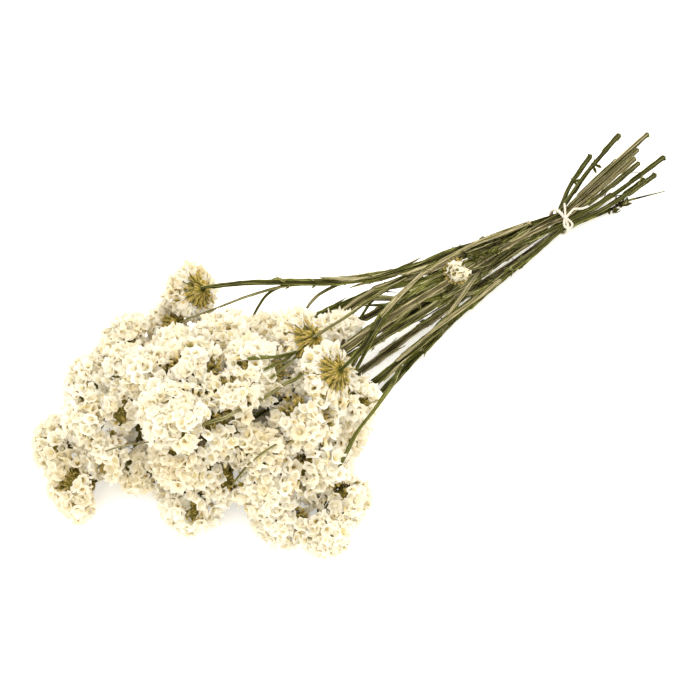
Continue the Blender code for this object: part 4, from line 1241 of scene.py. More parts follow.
def core_shell(k, random):
    """Make the core: the bun's outline at a smaller share, lumpy, closed at both poles."""
    middle, size, own = middles[k], sizes[k], axes[k]
    fall = np.linspace(0.02, math.pi - 0.02, CORE_ROWS)[:, None]
    turn = 2 * np.pi * np.arange(CORE_AROUND)[None] / CORE_AROUND
    ways = np.stack([np.sin(fall) * np.cos(turn), np.sin(fall) * np.sin(turn), np.cos(fall) + 0 * turn], -1)
    flat = ways.reshape(-1, 3)
    share = CORE_SHARE * random.uniform(*CORE_LUMPS, len(flat))
    spots = middle + (flat @ own) * (size * bun_radius(flat) * share)[:, None]
    low = (spots - middle) @ own[2]
    spots += np.maximum(-HEAD_BASE * size - low, 0.0)[:, None] * own[2]
    spots = hold_back(spots, middle, *limits[k])
    tone = random.uniform(*CORE_TONES, len(flat))
    return spots, grid_faces(CORE_ROWS, CORE_AROUND, True), {"rim": tone, "age": CORE_AGE}, 1


# %% [markdown]
# ## The bracts under a head
#
# Under the calyces lies a fan of short spikes, each with two rows of pointed scales like a
# herringbone. Every scale is a folded blade of four rows by three points: narrow at its foot, widest
# a third of the way up, raised along its keel and pointed. The spikes start at the stem and follow
# the head's underside to its edge.

# %% Bracts
SPIKES = 12
SCALES = 11
SCALE_LENGTH = 6.4
SCALE_WIDTH = 1.8
# A scale's four rows: shares of its length, and its breadth there. Its keel and its bend inwards.
SCALE_STATIONS = np.array([0.0, 0.34, 0.70, 1.0])
SCALE_BREADTHS = np.array([0.35, 1.0, 0.72, 0.03])
SCALE_KEEL = 0.30
SCALE_FALL = 1.1
SCALE_BEND = 0.10
# The fan goes round this share of the head. Its spikes follow these shares out from the stem.
FAN_SECTOR = 0.86
FAN_STATIONS = (0.0, 0.25, 0.6, 1.0)
FAN_WIDTHS = (0.03, 0.11, 0.25, 0.40)
NECK_BELOW = 9.0
# How far the two rows stand from a spike's middle, and how their scales lean out and down.
ROW_OFFSET = 0.4
SCALE_LEAN = (0.35, 0.70)
SCALE_DROOP = (0.05, 0.6)
# Heads below this size have scales that are smaller in the same measure.
FULL_SCALES = 44.0


def scale_shapes(count, random):
    """Give folded blades: breadths as listed along them, the keel raised, and the tip bent in."""
    t = SCALE_STATIONS[None, :, None]
    width = SCALE_BREADTHS[None, :, None]
    side = np.array([-0.5, 0.0, 0.5])[None, None]
    length = SCALE_LENGTH * random.uniform(0.8, 1.2, (count, 1, 1))
    broad = SCALE_WIDTH * random.uniform(0.8, 1.2, (count, 1, 1))
    x = broad * width * side
    y = broad * width * (SCALE_KEEL - SCALE_FALL * np.abs(side)) + SCALE_BEND * length * t**2
    z = length * t + 0 * side
    return np.stack([x, y, z], -1)


def scale_shell(scales, ages):
    """Make a shell of scales of four rows by three points, each with its own age."""
    fields = {"rim": np.tile(np.repeat(SCALE_STATIONS, 3), len(scales)), "age": np.repeat(ages, 12)}
    return scales, repeat_faces(grid_faces(4, 3, False), 12, len(scales)), fields, 1


def bract_shell(k, random):
    """Set the scales out in two rows on each spike, from the neck to the rim of the head."""
    middle, size, own = middles[k], sizes[k], axes[k]
    side, up, way = own
    t = np.linspace(0.04, 1.0, SCALES)
    base = -HEAD_BASE * size
    out = np.interp(t, FAN_STATIONS, np.array(FAN_WIDTHS) * size)
    rise = np.interp(t, FAN_STATIONS, [base - NECK_BELOW, base - 4.0, base - 0.5, -0.05 * size])
    slope_out, slope_up = np.gradient(out), np.gradient(rise)
    feet, aims, flats = [], [], []
    facing = random.uniform(0, 2 * math.pi)
    for spike in range(SPIKES):
        angle = facing + 2 * math.pi * FAN_SECTOR * (spike + random.uniform(-0.2, 0.2)) / SPIKES
        outward = math.cos(angle) * side + math.sin(angle) * up
        across_way = -math.sin(angle) * side + math.cos(angle) * up
        for sign in (-1.0, 1.0):
            ahead = unit(slope_out[:, None] * outward + slope_up[:, None] * way)
            under = unit(slope_up[:, None] * outward - slope_out[:, None] * way)
            foot = middle + out[:, None] * outward + rise[:, None] * way
            feet.append(foot + sign * ROW_OFFSET * across_way)
            lean = random.uniform(*SCALE_LEAN, (SCALES, 1)) * sign
            droop = random.uniform(*SCALE_DROOP, (SCALES, 1))
            aims.append(unit(ahead + lean * across_way + droop * under))
            flats.append(under)
    feet, aims, flats = np.vstack(feet), np.vstack(aims), np.vstack(flats)
    sides = unit(np.cross(aims, flats))
    ups = np.cross(sides, aims)
    shape = min(size / FULL_SCALES, 1.0) * scale_shapes(len(feet), random)
    x, y, z = shape[..., :1], shape[..., 1:2], shape[..., 2:]
    spots = (feet[:, None, None] + x * sides[:, None, None] - y * ups[:, None, None]
             + z * aims[:, None, None])
    planes, depths = limits[k]
    spots = hold_back(spots, middle, planes[:1], depths[:1])
    return scale_shell(spots, random.uniform(0, 1, len(feet)) ** 2)


# %% [markdown]
# Now every head is made in turn. Each draws its chances from its own seed, so that one head can be
# changed without changing the others.

# %% Make every head
HEAD_SEED = 1000

triangles = 0
for k in range(len(HEADS)):
    name = f"head_{k + 1:02d}"
    piece = make_piece(f"calyces_{k + 1:02d}", head_shells(k), (PAPER, BRACT), "calyx", name)
    triangles += triangles_in(piece)
print(f"{len(HEADS)} heads, {triangles} triangles")

# %% [markdown]
# ## The winged stems
#
# A statice stem is a thin round stalk with three leafy wings along it. Its section is carried along
# the stem's smooth line: the radius is large only close to each wing's own angle. Each wing widens
# slowly towards the head, then drops back at a node, and its edge is wavy and nicked. Side branches
# are made the same way with two low wings.

# %% Sweep a stem
def carried_frames(line, lean):
    """Carry a pair of cross directions along a line, turned as little as each bend needs."""
    tangents = unit(np.gradient(line, axis=0))
    sides, ups = [], []
    side = lean
    for tangent in tangents:
        side = square_to(side, tangent)
        sides.append(side)
        ups.append(np.cross(tangent, side))
    return np.array(sides), np.array(ups)


STEP_ALONG = 2.5
# Real wings reach this much further than the solids' wings, which are thicker.
WING_SWELL = 1.24
# A section goes round wing by wing: turns from the wing's own angle, and shares of its reach there.
MAIN_OFFSETS = np.radians([-60.0, -30.0, -11.0, -4.0, 0.0, 4.0, 11.0, 30.0])
MAIN_REACH = np.array([0.36, 0.39, 0.56, 0.93, 1.0, 0.93, 0.56, 0.39])
SIDE_OFFSETS = np.radians([-90.0, -48.0, -18.0, -6.0, 0.0, 6.0, 18.0, 48.0])
SIDE_REACH = np.array([0.52, 0.54, 0.68, 0.94, 1.0, 0.94, 0.68, 0.54])
# A wing widens from node to node over this many millimetres, and drops back by this share.
INTERNODES = (46.0, 80.0)
NODE_DROP = 0.30
# Nicks of a wing's edge: millimetres for each radian of two waves, and their share of the reach.
WAVE_LENGTHS = (7.3, 2.3)
WAVE_SHARE = 0.035
# The finish counts this many steps round a stem.
STEPS_ROUND = 8.0


def smooth_line(line, numbers, step=STEP_ALONG):
    """Run a cubic curve through the points, and read the numbers along it, every step mm.

    Between points p1 and p2 it is the Catmull-Rom curve, half of
    2 p1 + (p2 - p0) t + (2 p0 - 5 p1 + 4 p2 - p3) t^2 + (3 p1 - p0 - 3 p2 + p3) t^3.
    """
    spans = np.linalg.norm(np.diff(line, axis=0), axis=1)
    place = np.concatenate([[0], np.cumsum(spans)])
    wanted = np.linspace(0, place[-1], max(int(place[-1] / step), 4) + 1)
    k = np.clip(np.searchsorted(place, wanted, side="right") - 1, 0, len(line) - 2)
    t = ((wanted - place[k]) / spans[k])[:, None]
    p0 = line[np.maximum(k - 1, 0)]
    p1, p2 = line[k], line[k + 1]
    p3 = line[np.minimum(k + 2, len(line) - 1)]
    curve = 0.5 * (2 * p1 + (p2 - p0) * t + (2 * p0 - 5 * p1 + 4 * p2 - p3) * t**2
                   + (3 * p1 - p0 - 3 * p2 + p3) * t**3)
    return curve, [np.interp(wanted, place, number) for number in numbers], wanted


def stem_line_shells(row, is_branch, stem, random):
    """Make the shells of one stem line: a winged section along its smooth line, and its two ends.

    With g the share of the way from one node to the next, a wing's edge is at 1 - D + D g^2 of its
    reach for a drop D, with two sine waves for the nicks.
    """
    index = np.arange(len(row), dtype=float)
    line, (reach, station), along = smooth_line(points[row], (radii[row], index))
    wings = 2 if is_branch else 3
    offsets = SIDE_OFFSETS if is_branch else MAIN_OFFSETS
    profile = SIDE_REACH if is_branch else MAIN_REACH
    lean = np.array([0.0, math.cos(stem), math.sin(stem)])
    if is_branch:
        lean = across(points[row[1]] - points[row[0]])[0]
    sides, ups = carried_frames(line, lean)
    angle = (2 * np.pi * np.arange(wings)[:, None] / wings + offsets[None]).reshape(-1)
    fin = np.tile(profile, wings)
    wing = np.repeat(np.arange(wings), len(profile))
    shift = random.uniform(0, 1, wings)[wing]
    pitch = random.uniform(*INTERNODES, wings)[wing]
    growth = np.mod(along[:, None] / pitch + shift, 1.0)
    edge = 1 - NODE_DROP * (1 - growth**2)
    for k, length in enumerate(WAVE_LENGTHS):
        edge = edge - WAVE_SHARE * np.sin(along[:, None] / length + (9 + 14 * k) * shift)
    outer = np.clip((fin - 0.5) / 0.4, 0, 1)
    radius = WING_SWELL * reach[:, None] * fin * (1 - outer * (1 - edge))
    around = angle[None] + (WING_TWIST * station + stem)[:, None]
    rings = rings_round(line, sides, ups, radius, around)
    count, each = radius.shape
    spots = np.vstack([rings.reshape(-1, 3), line[:1], line[-1:]])
    fields = {
        # rim is the share of the wing's reach, from which the finish paints shade into the valleys.
        "rim": np.append(np.tile(fin, count), [1.0, 1.0]),
        "age": 1.0 if stem in GREY_STEMS else float(random.uniform(0, 1)),
        "along": np.append(np.repeat(along, each), [along[0], along[-1]]),
        "around": np.append(np.tile(np.arange(each) * STEPS_ROUND / each, count), [0.0, 0.0]),
    }
    beside = (np.arange(each) + 1) % each
    base = (count - 1) * each
    caps = np.vstack([
        np.column_stack([np.arange(each), np.full(each, count * each), beside]),
        np.column_stack([base + np.arange(each), base + beside, np.full(each, count * each + 1)]),
    ])
    shells = [(spots, grid_faces(count, each, True), fields, 0), (spots, caps, fields, 0)]
    return shells, (line, reach, along, sides, ups)


# %% [markdown]
# ## Leaves, ribbons and tendrils
#
# At the nodes small leaves stand off the stem. Dry, they are narrow folded blades that curl. Longer
# strips of wing have come loose and lie along the stem as ribbons, some of them grey. The thinnest
# leaves have dried to wiry tendrils, whose curl tightens towards the tip: the angle turned grows
# with the square of the distance along it.

# %% Leaves, ribbons and tendrils
LEAF_ROWS = 8
TENDRIL_ROWS = 26
TENDRIL_AROUND = 5
# A ribbon takes every second point of the stem's line. It drifts round the stem by up to this many
# radians and lies this share of the wing's reach off the middle, and further off at its ends.
RIBBON_STEP = 2
RIBBON_DRIFT = 1.2
RIBBON_OFF = 0.75
RIBBON_LIFT = 0.9
RIBBON_TILT = 0.8
RIBBON_ROLL = 0.9
RIBBON_RAGGED = 0.16
STRAND_ROWS = 40
# Where a loose strand starts along X, how far it runs towards the heads, and its width.
STRAND_STARTS = (120.0, 205.0)
STRAND_RUNS = (90.0, 170.0)
STRAND_WIDTHS = (3.2, 6.4)
# A loose strand lies this far above the stems' lines, waves by this much, tilts and rolls.
STRAND_LIFT = 2.0
STRAND_WAVE = 1.5
STRAND_TILT = 0.5
STRAND_ROLL = 0.8
# Loose strips stay this far above the surface.
STRIP_CLEAR = 0.5
LAID_AROUND = 8


def leaf_shell(root, way, flat, length, width, curl, age):
    """Make a folded leaf: width W sin(pi t^0.7), keel raised, bent by curl radians along it."""
    t = np.linspace(0, 1, LEAF_ROWS)
    bend = curl * t
    ahead = np.cos(bend)[:, None] * way + np.sin(bend)[:, None] * flat
    steps = np.vstack([np.zeros(3), ahead[:-1]]) * length / (LEAF_ROWS - 1)
    side = unit(np.cross(way, flat))
    up = np.cross(side, ahead)
    broad = width * np.sin(np.pi * np.clip(t, 0.06, 0.995) ** 0.7)
    spots = strip_points(root + np.cumsum(steps, axis=0), broad, side[None])
    spots = spots + (0.5 * broad[:, None] * np.abs(ACROSS))[..., None] * up[:, None]
    return strip_shell(spots, 0.8, age, t * length)


def tendril_shell(root, way, flat, length, turns, thick, age):
    """Make a tendril: a tapering tube, closed at its ends, that turns by 2 pi turns t^2 in its plane."""
    t = np.linspace(0, 1, TENDRIL_ROWS)
    side = unit(np.cross(way, flat))
    bend = 2 * math.pi * turns * t**2
    ahead = np.cos(bend)[:, None] * way + np.sin(bend)[:, None] * flat + 0.25 * np.sin(5 * t)[:, None] * side
    line = root + np.cumsum(unit(ahead), axis=0) * length / TENDRIL_ROWS
    sides, ups = carried_frames(line, side)
    angle = 2 * np.pi * np.arange(TENDRIL_AROUND) / TENDRIL_AROUND
    radius = (thick * (1 - 0.7 * t))[:, None]
    radius[[0, -1]] = 0.0
    return tube_shell(rings_round(line, sides, ups, radius, angle), 0.7, age, t * length, 0.3)


def ribbon_shell(swept, first, length, width, angle, age, random):
    """Make a loose strip of wing along a stem, from one share of its way on, at an angle round it.

    Its half width is W/2 sin(pi t)^0.5 with a wavy edge. It drifts round the stem and off it as it
    goes, so that it lifts at its ends.
    """
    line, reach, along, sides, ups = swept
    start = int(first * len(line))
    some = slice(start, min(start + int(length / STEP_ALONG), len(line) - 6), RIBBON_STEP)
    line, reach, along, sides, ups = line[some], reach[some], along[some], sides[some], ups[some]
    t = np.linspace(0, 1, len(line))
    turned = (angle + random.uniform(-RIBBON_DRIFT, RIBBON_DRIFT) * t)[:, None]
    out = np.cos(turned) * sides + np.sin(turned) * ups
    across_way = -np.sin(turned) * sides + np.cos(turned) * ups
    off = reach[:, None] * (RIBBON_OFF + RIBBON_LIFT * (2 * t[:, None] - 1) ** 4)
    tilt = random.uniform(-RIBBON_TILT, RIBBON_TILT)
    tilt = tilt + RIBBON_ROLL * np.sin(4 * t + random.uniform(0, 6))[:, None]
    wide = np.cos(tilt) * across_way + np.sin(tilt) * out
    broad = width * np.sqrt(np.sin(np.pi * np.clip(t, 0.01, 0.99)))
    broad = broad * (1 + RIBBON_RAGGED * np.sin(along / 1.9))
    spots = strip_points(line + off * out, broad, wide)
    spots[..., 2] = np.maximum(spots[..., 2], STRIP_CLEAR)
    return strip_shell(spots, 0.85, age, along, 3.0)


def strand_shell(one, other, age, random):
    """Make a strip that has come off one stem and lies across to another.

    Its line runs along X. With s = 3 t^2 - 2 t^3, its other measures are (1 - s) times those of the
    first stem's line and s times those of the second's.
    """
    t = np.linspace(0, 1, STRAND_ROWS)
    x = random.uniform(*STRAND_STARTS) - random.uniform(*STRAND_RUNS) * t
    share = 3 * t**2 - 2 * t**3
    y, z = ((1 - share) * np.interp(-x, -one[:, 0], one[:, k])
            + share * np.interp(-x, -other[:, 0], other[:, k]) for k in (1, 2))
    line = np.column_stack([x, y + STRAND_WAVE * np.sin(7 * t), z + STRAND_LIFT])
    ahead = unit(np.gradient(line, axis=0))
    tilt = random.uniform(-STRAND_TILT, STRAND_TILT)
    tilt = (tilt + STRAND_ROLL * np.sin(5 * t + random.uniform(0, 6)))[:, None]
    level = unit(np.cross(UP, ahead))
    wide = np.cos(tilt) * level + np.sin(tilt) * np.cross(ahead, level)
    broad = random.uniform(*STRAND_WIDTHS) * np.sin(np.pi * np.clip(t, 0.02, 0.98)) ** 0.3
    spots = strip_points(line, broad, wide)
    spots[..., 2] = np.maximum(spots[..., 2], STRIP_CLEAR)
    return strip_shell(spots, 0.9, age, -x, 3.0)


def laid_shell(route, width, age):
    """Make a flat side branch along a route: a lens W wide and a third as deep, closed at its ends."""
    line, _, along = smooth_line(np.array(route, dtype=float), ())
    sides, ups = carried_frames(line, np.cross(UP, line[1] - line[0]))
    angle = 2 * np.pi * np.arange(LAID_AROUND) / LAID_AROUND
    t = along / along[-1]
    half = (0.5 * width * (0.75 + 0.25 * np.sin(9 * t) ** 2) * (1 - 0.35 * t))[:, None]
    half[[0, -1]] = 0.0
    # Through the stem finish's painted valley shade, the flat faces are painted darker than the edges.
    tone = np.tile(0.6 + 0.4 * np.abs(np.cos(angle)), len(line))
    rings = rings_round(line, sides, ups / 3, half, angle)
    return tube_shell(rings, tone, age, along, np.tile(np.arange(float(LAID_AROUND)), len(line)))


def node_shells(swept, place, count, length, random):
    """Set small dry scales round a stem at one of its nodes, as leaves do where it forked."""
    line, reach, _, sides, ups = swept
    at = min(int(place * len(line)), len(line) - 3)
    ahead = unit(line[at + 1] - line[at])
    shells = []
    for k in range(count):
        angle = 2 * math.pi * (k + random.uniform(-0.3, 0.3)) / count
        out = math.cos(angle) * sides[at] + math.sin(angle) * ups[at]
        way = unit(ahead + random.uniform(0.2, 0.6) * out)
        root = line[at] + 0.6 * reach[at] * out
        long, wide = length * random.uniform(0.6, 1.2), random.uniform(2.2, 3.6)
        curl, age = random.uniform(-0.2, 0.7), random.uniform(0.4, 1.0)
        shells.append(leaf_shell(root, way, square_to(out, way), long, wide, curl, age))
    return shells


# %% [markdown]
# ## What clings to the stems
#
# Leaves have dried to dark curly masses: a large one between the tie and the small head, one just
# past that head, and two small ones among the cut ends. Past the tie one thin twig runs out to a
# point, with a cluster of small unopened buds beside it. Loose strands lie from stem to stem, pale strips
# run along the bundle, and a few flat side branches lie across the heads, as they do in a bunch
# that was tied by hand. Each goes to the stem that it grew on.

# %% Stems with what clings to them
STEM_SEED = 500
# What each stem carries along it: how many, from which shares of its way on, how long and how wide.
RIBBONS_EACH = 4
RIBBON_STARTS = (0.22, 0.62)
RIBBON_LENGTHS = (60, 130)
RIBBON_WIDTHS = (3.4, 6.0)
TENDRILS_EACH = 2
TENDRIL_STARTS = (0.3, 0.7)
TENDRIL_LENGTHS = (16, 34)
TENDRIL_TURNS = (0.5, 1.6)
TENDRIL_RADIUS = 0.42
NODES_EACH = 2
NODE_STARTS = (0.3, 0.72)
# Every second stem has leaves at a node this share of the way from its cut end.
TAIL_NODES = (0.05, 0.12)
# Curly masses: the stem, the middle, the reach, how many pieces, and the share of tendrils.
CURLY_PLACES = (
    (12, (133.0, -13.5, 50.5), (15.0, 4.0, 3.0), 28, 0.6),
    (7, (79.0, -27.0, 53.5), (11.0, 4.0, 2.0), 10, 1.0),
    (0, (290.3, 24.3, 28.0), (1.5, 1.0, 1.0), 5, 0.0),
    (1, (271.0, 26.0, 20.0), (2.0, 1.0, 1.0), 5, 0.0),
)
TWIG_STEM = 11
TWIG = np.array([(239.0, -7.0, 8.0), (260.0, -9.0, 6.5), (279.0, -12.0, 7.0), (299.0, -14.0, 9.0),
                 (316.0, -21.0, 12.0), (334.0, -29.0, 15.0)])
TWIG_RADIUS = 1.6
BUD_MIDDLE = np.array([289.0, -13.0, 7.5])
BUDS = 9
# Stems whose first strand is bleached, and stems that are bleached as a whole.
PALE_STRANDS = (0, 3, 6, 9)
GREY_STEMS = (5,)
# Each strip: its stem, its width and the points that it runs through.
PALE_STRIPS = (
    (9, 6.5, ((203, 6.5, 26), (168, 6.5, 35), (138, 5, 44), (106, -0.5, 54.5), (75, -5, 61), (42, -21, 78.4),
              (16, -32.4, 86), (0, -40, 91))),
    (10, 5.5, ((140, -30.5, 29), (128, -33, 31.4), (109, -37.6, 35.2), (88, -42.2, 39.4), (59, -48.8, 45.9),
               (36, -52.2, 45.7), (7, -56.2, 43.2))),
)
# Each branch: the head whose stem it grew on, its width and the points that it runs through.
LAID_BRANCHES = (
    (29, 4.6, ((-72, -44, 92), (-88, -54, 98), (-98, -51, 94), (-109, -52, 94), (-122, -54, 97),
               (-132, -54, 97), (-146, -55, 101), (-157, -54, 100), (-167, -50, 98), (-176, -48, 97))),
    (29, 4.4, ((-117, -25, 113), (-105, -30, 111), (-93, -35, 108), (-79, -32, 98), (-68, -27, 86))),
    (29, 3.4, ((-111, -38, 107), (-100, -38, 106), (-89, -37, 102), (-76, -30, 93), (-67, -26, 84))),
    (29, 3.6, ((-110, -47, 105), (-97, -42, 101), (-86, -38, 97), (-72, -29, 84))),
    (13, 1.8, ((-240, -1, 57), (-228, -13, 70), (-216, -27, 82), (-204, -41, 94), (-194, -47, 96))),
    (26, 3.0, ((-171, -82, 50), (-155, -84, 70), (-142, -88, 82), (-132, -86, 79), (-120, -80, 70))),
    (33, 5.4, ((26, -38, 12), (9, -58, 32), (-9, -77, 55), (-29, -92, 71), (-44, -98, 69), (-56, -99, 59),
               (-66, -101, 52), (-81, -111, 54), (-93, -117, 50))),
)


def curly_shells(middle, reach, count, share, random):
    """Make a dark curly mass round one middle: a share of short tendrils, and crumpled leaves."""
    shells = []
    for _ in range(count):
        root = np.array(middle) + np.array(reach) * random.uniform(-1, 1, 3)
        way, flat = unit(random.normal(0, 1, (2, 3)) * np.array([1.0, 0.7, 0.5]))
        flat = square_to(flat, way)
        if random.random() < share:
            long, turns = random.uniform(10, 22), random.uniform(0.8, 1.8)
            shells.append(tendril_shell(root, way, flat, long, turns, 0.6, 0.1))
        else:
            long, curl = random.uniform(7, 13), random.uniform(0.8, 2.6)
            shells.append(leaf_shell(root, way, flat, long, 3.4, curl, 0.15))
    return shells


def twig_shells(random):
    """Make the thin pointed twig past the tie, and two small leaves crossed for each bud beside it."""
    line, _, along = smooth_line(TWIG, ())
    sides, ups = carried_frames(line, UP)
    angle = 2 * np.pi * np.arange(6) / 6
    radius = np.interp(along / along[-1], [0, 0.5, 1], [TWIG_RADIUS, 0.8 * TWIG_RADIUS, 0.45])[:, None]
    radius[[0, -1]] = 0.0
    shells = [tube_shell(rings_round(line, sides, ups, radius, angle), 0.45, 0.2, along, 0.5)]
    for _ in range(BUDS):
        root = BUD_MIDDLE + random.uniform(-1, 1, 3) * np.array([9.0, 4.5, 2.5])
        way, flat = unit(random.normal(0, 1, (2, 3)) + np.array([0.8, 0.0, 0.4]))
        flat = square_to(flat, way)
        shells.append(leaf_shell(root, way, flat, random.uniform(7, 12), 4.0, random.uniform(0.3, 1.5), 0.2))
        shells.append(leaf_shell(root, flat, way, random.uniform(5, 9), 4.4, random.uniform(0.3, 1.5), 0.9))
    return shells


mains = {owner: points[row] for row, (owner, _), fork in zip(rows, owners, forks) if fork is None}
stem_of = {head: owner for owner, head in owners}
triangles = 0
for stem in range(STEM_COUNT):
    random = np.random.default_rng(STEM_SEED + stem)
    shells = []
    for row, (owner, _), fork in zip(rows, owners, forks):
        if owner != stem:
            continue
        is_branch = fork is not None
        made, swept = stem_line_shells(row, is_branch, stem, random)
        shells += made
        if is_branch:
            shells += node_shells(swept, 0.0, 3, 8.0, random)
            continue
        for _ in range(RIBBONS_EACH):
            first, long = random.uniform(*RIBBON_STARTS), random.uniform(*RIBBON_LENGTHS)
            wide, angle, age = random.uniform(*RIBBON_WIDTHS), random.uniform(0, 6.3), random.random()
            shells.append(ribbon_shell(swept, first, long, wide, angle, age, random))
        if stem % 2:
            shells += node_shells(swept, random.uniform(*TAIL_NODES), 3, 13.0, random)
        for _ in range(NODES_EACH):
            shells += node_shells(swept, random.uniform(*NODE_STARTS), 4, 8.5, random)
        for _ in range(TENDRILS_EACH):
            at = int(random.uniform(*TENDRIL_STARTS) * len(swept[0]))
            way, flat = unit(random.normal(0, 1, (2, 3)) + np.array([[-1.0, 0, 0.3], [0, 0, 0.3]]))
            flat = square_to(flat, way)
            long, turns = random.uniform(*TENDRIL_LENGTHS), random.uniform(*TENDRIL_TURNS)
            age = random.random()
            shells.append(tendril_shell(swept[0][at], way, flat, long, turns, TENDRIL_RADIUS, age))
    for owner, root, way, length, flat in blades:
        if owner == stem:
            curl, age = random.uniform(0.3, 1.1), random.random()
            shells.append(leaf_shell(root, way, flat, length, BLADE_WIDTH, curl, age))
    for age in (1.0 if stem in PALE_STRANDS else 0.3, random.random()):
        shells.append(strand_shell(mains[stem], mains[int(random.integers(STEM_COUNT))], age, random))
    for head, width, route in LAID_BRANCHES:
        if stem_of[head] == stem:
            shells.append(laid_shell(route, width, random.random()))
    for owner, width, route in PALE_STRIPS:
        if owner == stem:
            shells.append(laid_shell(route, width, 1.0))
    for owner, *place in CURLY_PLACES:
        if owner == stem:
            shells += curly_shells(*place, random)
    if stem == TWIG_STEM:
        shells += twig_shells(random)
    piece = make_piece(f"winged_stem_{stem + 1:02d}", shells, (GREEN,), "stem", f"stem_{stem + 1:02d}")
    triangles += triangles_in(piece)
print(f"{STEM_COUNT} stems, {triangles} triangles")

# %% [markdown]
# ## The string
#
# The string is three strands twisted together. Its section is a circle with three low lobes that
# turn as they go, carried round the stems twice, through the knot, and out to a loop and two tails.

# %% Twisted string
TWIST_PITCH = 3.4
STRANDS = 3
STRING_AROUND = 15
# The section's middle radius and the height of its lobes, as shares of the string's radius.
STRING_FULL = 1.08
STRING_LOBE = 0.15
# The two turns stand this far from the tie's middle, and come together by this much at the knot.
TURN_APART = 0.85
TURN_MEET = 0.55
# The knot's middle over the turns, its own radius, and the slants of its three small turns.
KNOT_LIFT = 1.1
KNOT_RING = 1.35
KNOT_SLANTS = (-0.7, 0.0, 0.7)


def string_shell(line, radius, lean, closed=False):
    """Carry a three-lobed section along a line: r = R (1.08 + 0.15 cos 3 (angle - turn)).

    A line whose ends meet is left open there. The two ends of any other line are closed to a point.
    """
    spans = np.linalg.norm(np.diff(line, axis=0), axis=1)
    place = np.concatenate([[0], np.cumsum(spans)])
    sides, ups = carried_frames(line, lean)
    angle = 2 * np.pi * np.arange(STRING_AROUND) / STRING_AROUND
    turns = round(place[-1] / TWIST_PITCH) if closed else place[-1] / TWIST_PITCH
    turn = 2 * np.pi * turns / STRANDS * place / place[-1]
    lobe = np.cos(STRANDS * (angle[None] - turn[:, None]))
    radius = radius * (STRING_FULL + STRING_LOBE * lobe)
    if not closed:
        radius[[0, -1]] = 0.0
    rings = rings_round(line, sides, ups, radius, angle)
    # rim is high on the strands and low between them, where the finish paints shade.
    return rings, grid_faces(len(line), STRING_AROUND, True), {"rim": (0.5 + 0.5 * lobe).reshape(-1)}, 0


def tie_shells():
    """Make the two turns, the knot's own three tight turns, the loop and the two tails."""
    centre = np.array([TIE_X, 0.0, TIE_HEIGHT])
    along_stems = np.array([1.0, 0.0, 0.0])
    out = np.array([0.0, math.cos(KNOT_ANGLE), math.sin(KNOT_ANGLE)])
    around = np.cross(along_stems, out)
    turns = np.linspace(0, 2 * np.pi, 121)
    shells = []
    ring = TIE_INNER_RADIUS + STRING_RADIUS
    for side in (-1, 1):
        spots = centre + ring * (np.outer(np.cos(turns), out) + np.outer(np.sin(turns), around))
        spots += side * np.outer(TURN_APART - TURN_MEET * np.cos(turns), along_stems)
        shells.append(string_shell(spots, STRING_RADIUS, along_stems, closed=True))
    knot = centre + out * (ring + KNOT_LIFT)
    for tilt in KNOT_SLANTS:
        first = unit(around + tilt * along_stems)
        small = np.linspace(0, 2 * np.pi, 31)
        spots = knot + KNOT_RING * (np.outer(np.cos(small), out) + np.outer(np.sin(small), first))
        shells.append(string_shell(spots, STRING_END_RADIUS, np.cross(out, first), closed=True))
    ways = np.array([along_stems, around, out])
    for _, route in STRING_ENDS:
        line, _, _ = smooth_line(knot + np.array(route, float) @ ways, (), 0.5)
        shells.append(string_shell(line, STRING_END_RADIUS, np.array([0.3, 0.2, 0.9])))
    return shells


tie = make_piece("twisted_string", tie_shells(), (STRING,), "string", "string_tie")
print("string tie:", len(tie.data.polygons), "faces")

# %% [markdown]
# ## Surface, light and camera
#
# The bunch lies on a plain white sweep that glows a little, as lit white paper does, in warm light
# from all round. Two soft lamps, a window and a fill, give faint shadows and show the forms.

# %% Stage
FLOOR_GLOW = 0.4
FLOOR_HALF = 3.0
# The sheet lies a little below the bunch, so that the two never coincide.
FLOOR_LEVEL = -0.0004
ROOM_LIGHT = 1.35
# Each lamp: its name, place in metres, strength in watts and width in metres.
LAMPS = (("window", (0.8, 0.2, 1.6), 20.0, 1.8), ("fill", (-0.7, -0.7, 1.3), 6.0, 1.6))

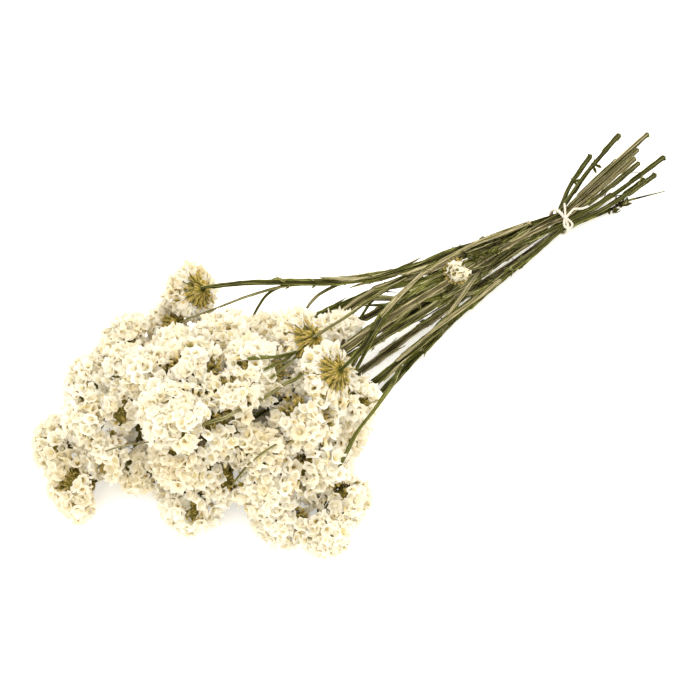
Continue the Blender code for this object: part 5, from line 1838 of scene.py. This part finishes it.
floor_mesh = bpy.data.meshes.new("floor")
corners = [(FLOOR_HALF * x, FLOOR_HALF * y, FLOOR_LEVEL) for x, y in ((-1, -1), (1, -1), (1, 1), (-1, 1))]
floor_mesh.from_pydata(corners, [], [(0, 1, 2, 3)])
floor = bpy.data.objects.new("floor", floor_mesh)
bpy.context.scene.collection.objects.link(floor)
white, _, shader = new_finish("white_paper_sweep", 0.9, 0.5)
shader.inputs["Base Color"].default_value = linear("#F8F8F8")
shader.inputs["Emission Color"].default_value = linear("#FFFFFF")
shader.inputs["Emission Strength"].default_value = FLOOR_GLOW
floor_mesh.materials.append(white)

world = bpy.data.worlds.new("soft_room")
world.use_nodes = True
world.node_tree.nodes["Background"].inputs["Color"].default_value = linear("#FFF7E6")
world.node_tree.nodes["Background"].inputs["Strength"].default_value = ROOM_LIGHT
bpy.context.scene.world = world
for name, place, strength, width in LAMPS:
    lamp = bpy.data.lights.new(name, "AREA")
    lamp.energy = strength
    lamp.size = width
    lit = bpy.data.objects.new(name, lamp)
    lit.location = place
    lit.rotation_euler = (-lit.location).to_track_quat("-Z", "Y").to_euler()
    bpy.context.scene.collection.objects.link(lit)
bpy.context.scene.view_settings.view_transform = "Standard"
print(len(LAMPS), "lamps over a sheet", 2 * FLOOR_HALF, "m wide")

# %% [markdown]
# The camera looks down at 55 degrees with a long lens, from the left of the stems, as the one that
# took the photograph did.

# %% Camera
AZIMUTH = math.radians(-35.0)
ELEVATION = math.radians(55.0)
DISTANCE = 1.5
FOCAL_PIXELS = 1725.0
IMAGE_PIXELS = 700.0

camera_data = bpy.data.cameras.new("camera")
camera_data.sensor_width = 36.0
camera_data.lens = FOCAL_PIXELS / IMAGE_PIXELS * camera_data.sensor_width
camera = bpy.data.objects.new("camera", camera_data)
aim = np.array([math.sin(-AZIMUTH), math.cos(AZIMUTH), 0.0]) * math.cos(ELEVATION)
back = DISTANCE * (np.array([0.0, 0.0, math.sin(ELEVATION)]) - aim)
camera.location = back - MIDDLE * MM
camera.rotation_euler = mathutils.Vector(-back).to_track_quat("-Z", "Y").to_euler()
bpy.context.scene.collection.objects.link(camera)
bpy.context.scene.camera = camera
print("camera at", np.round(camera.location, 3))
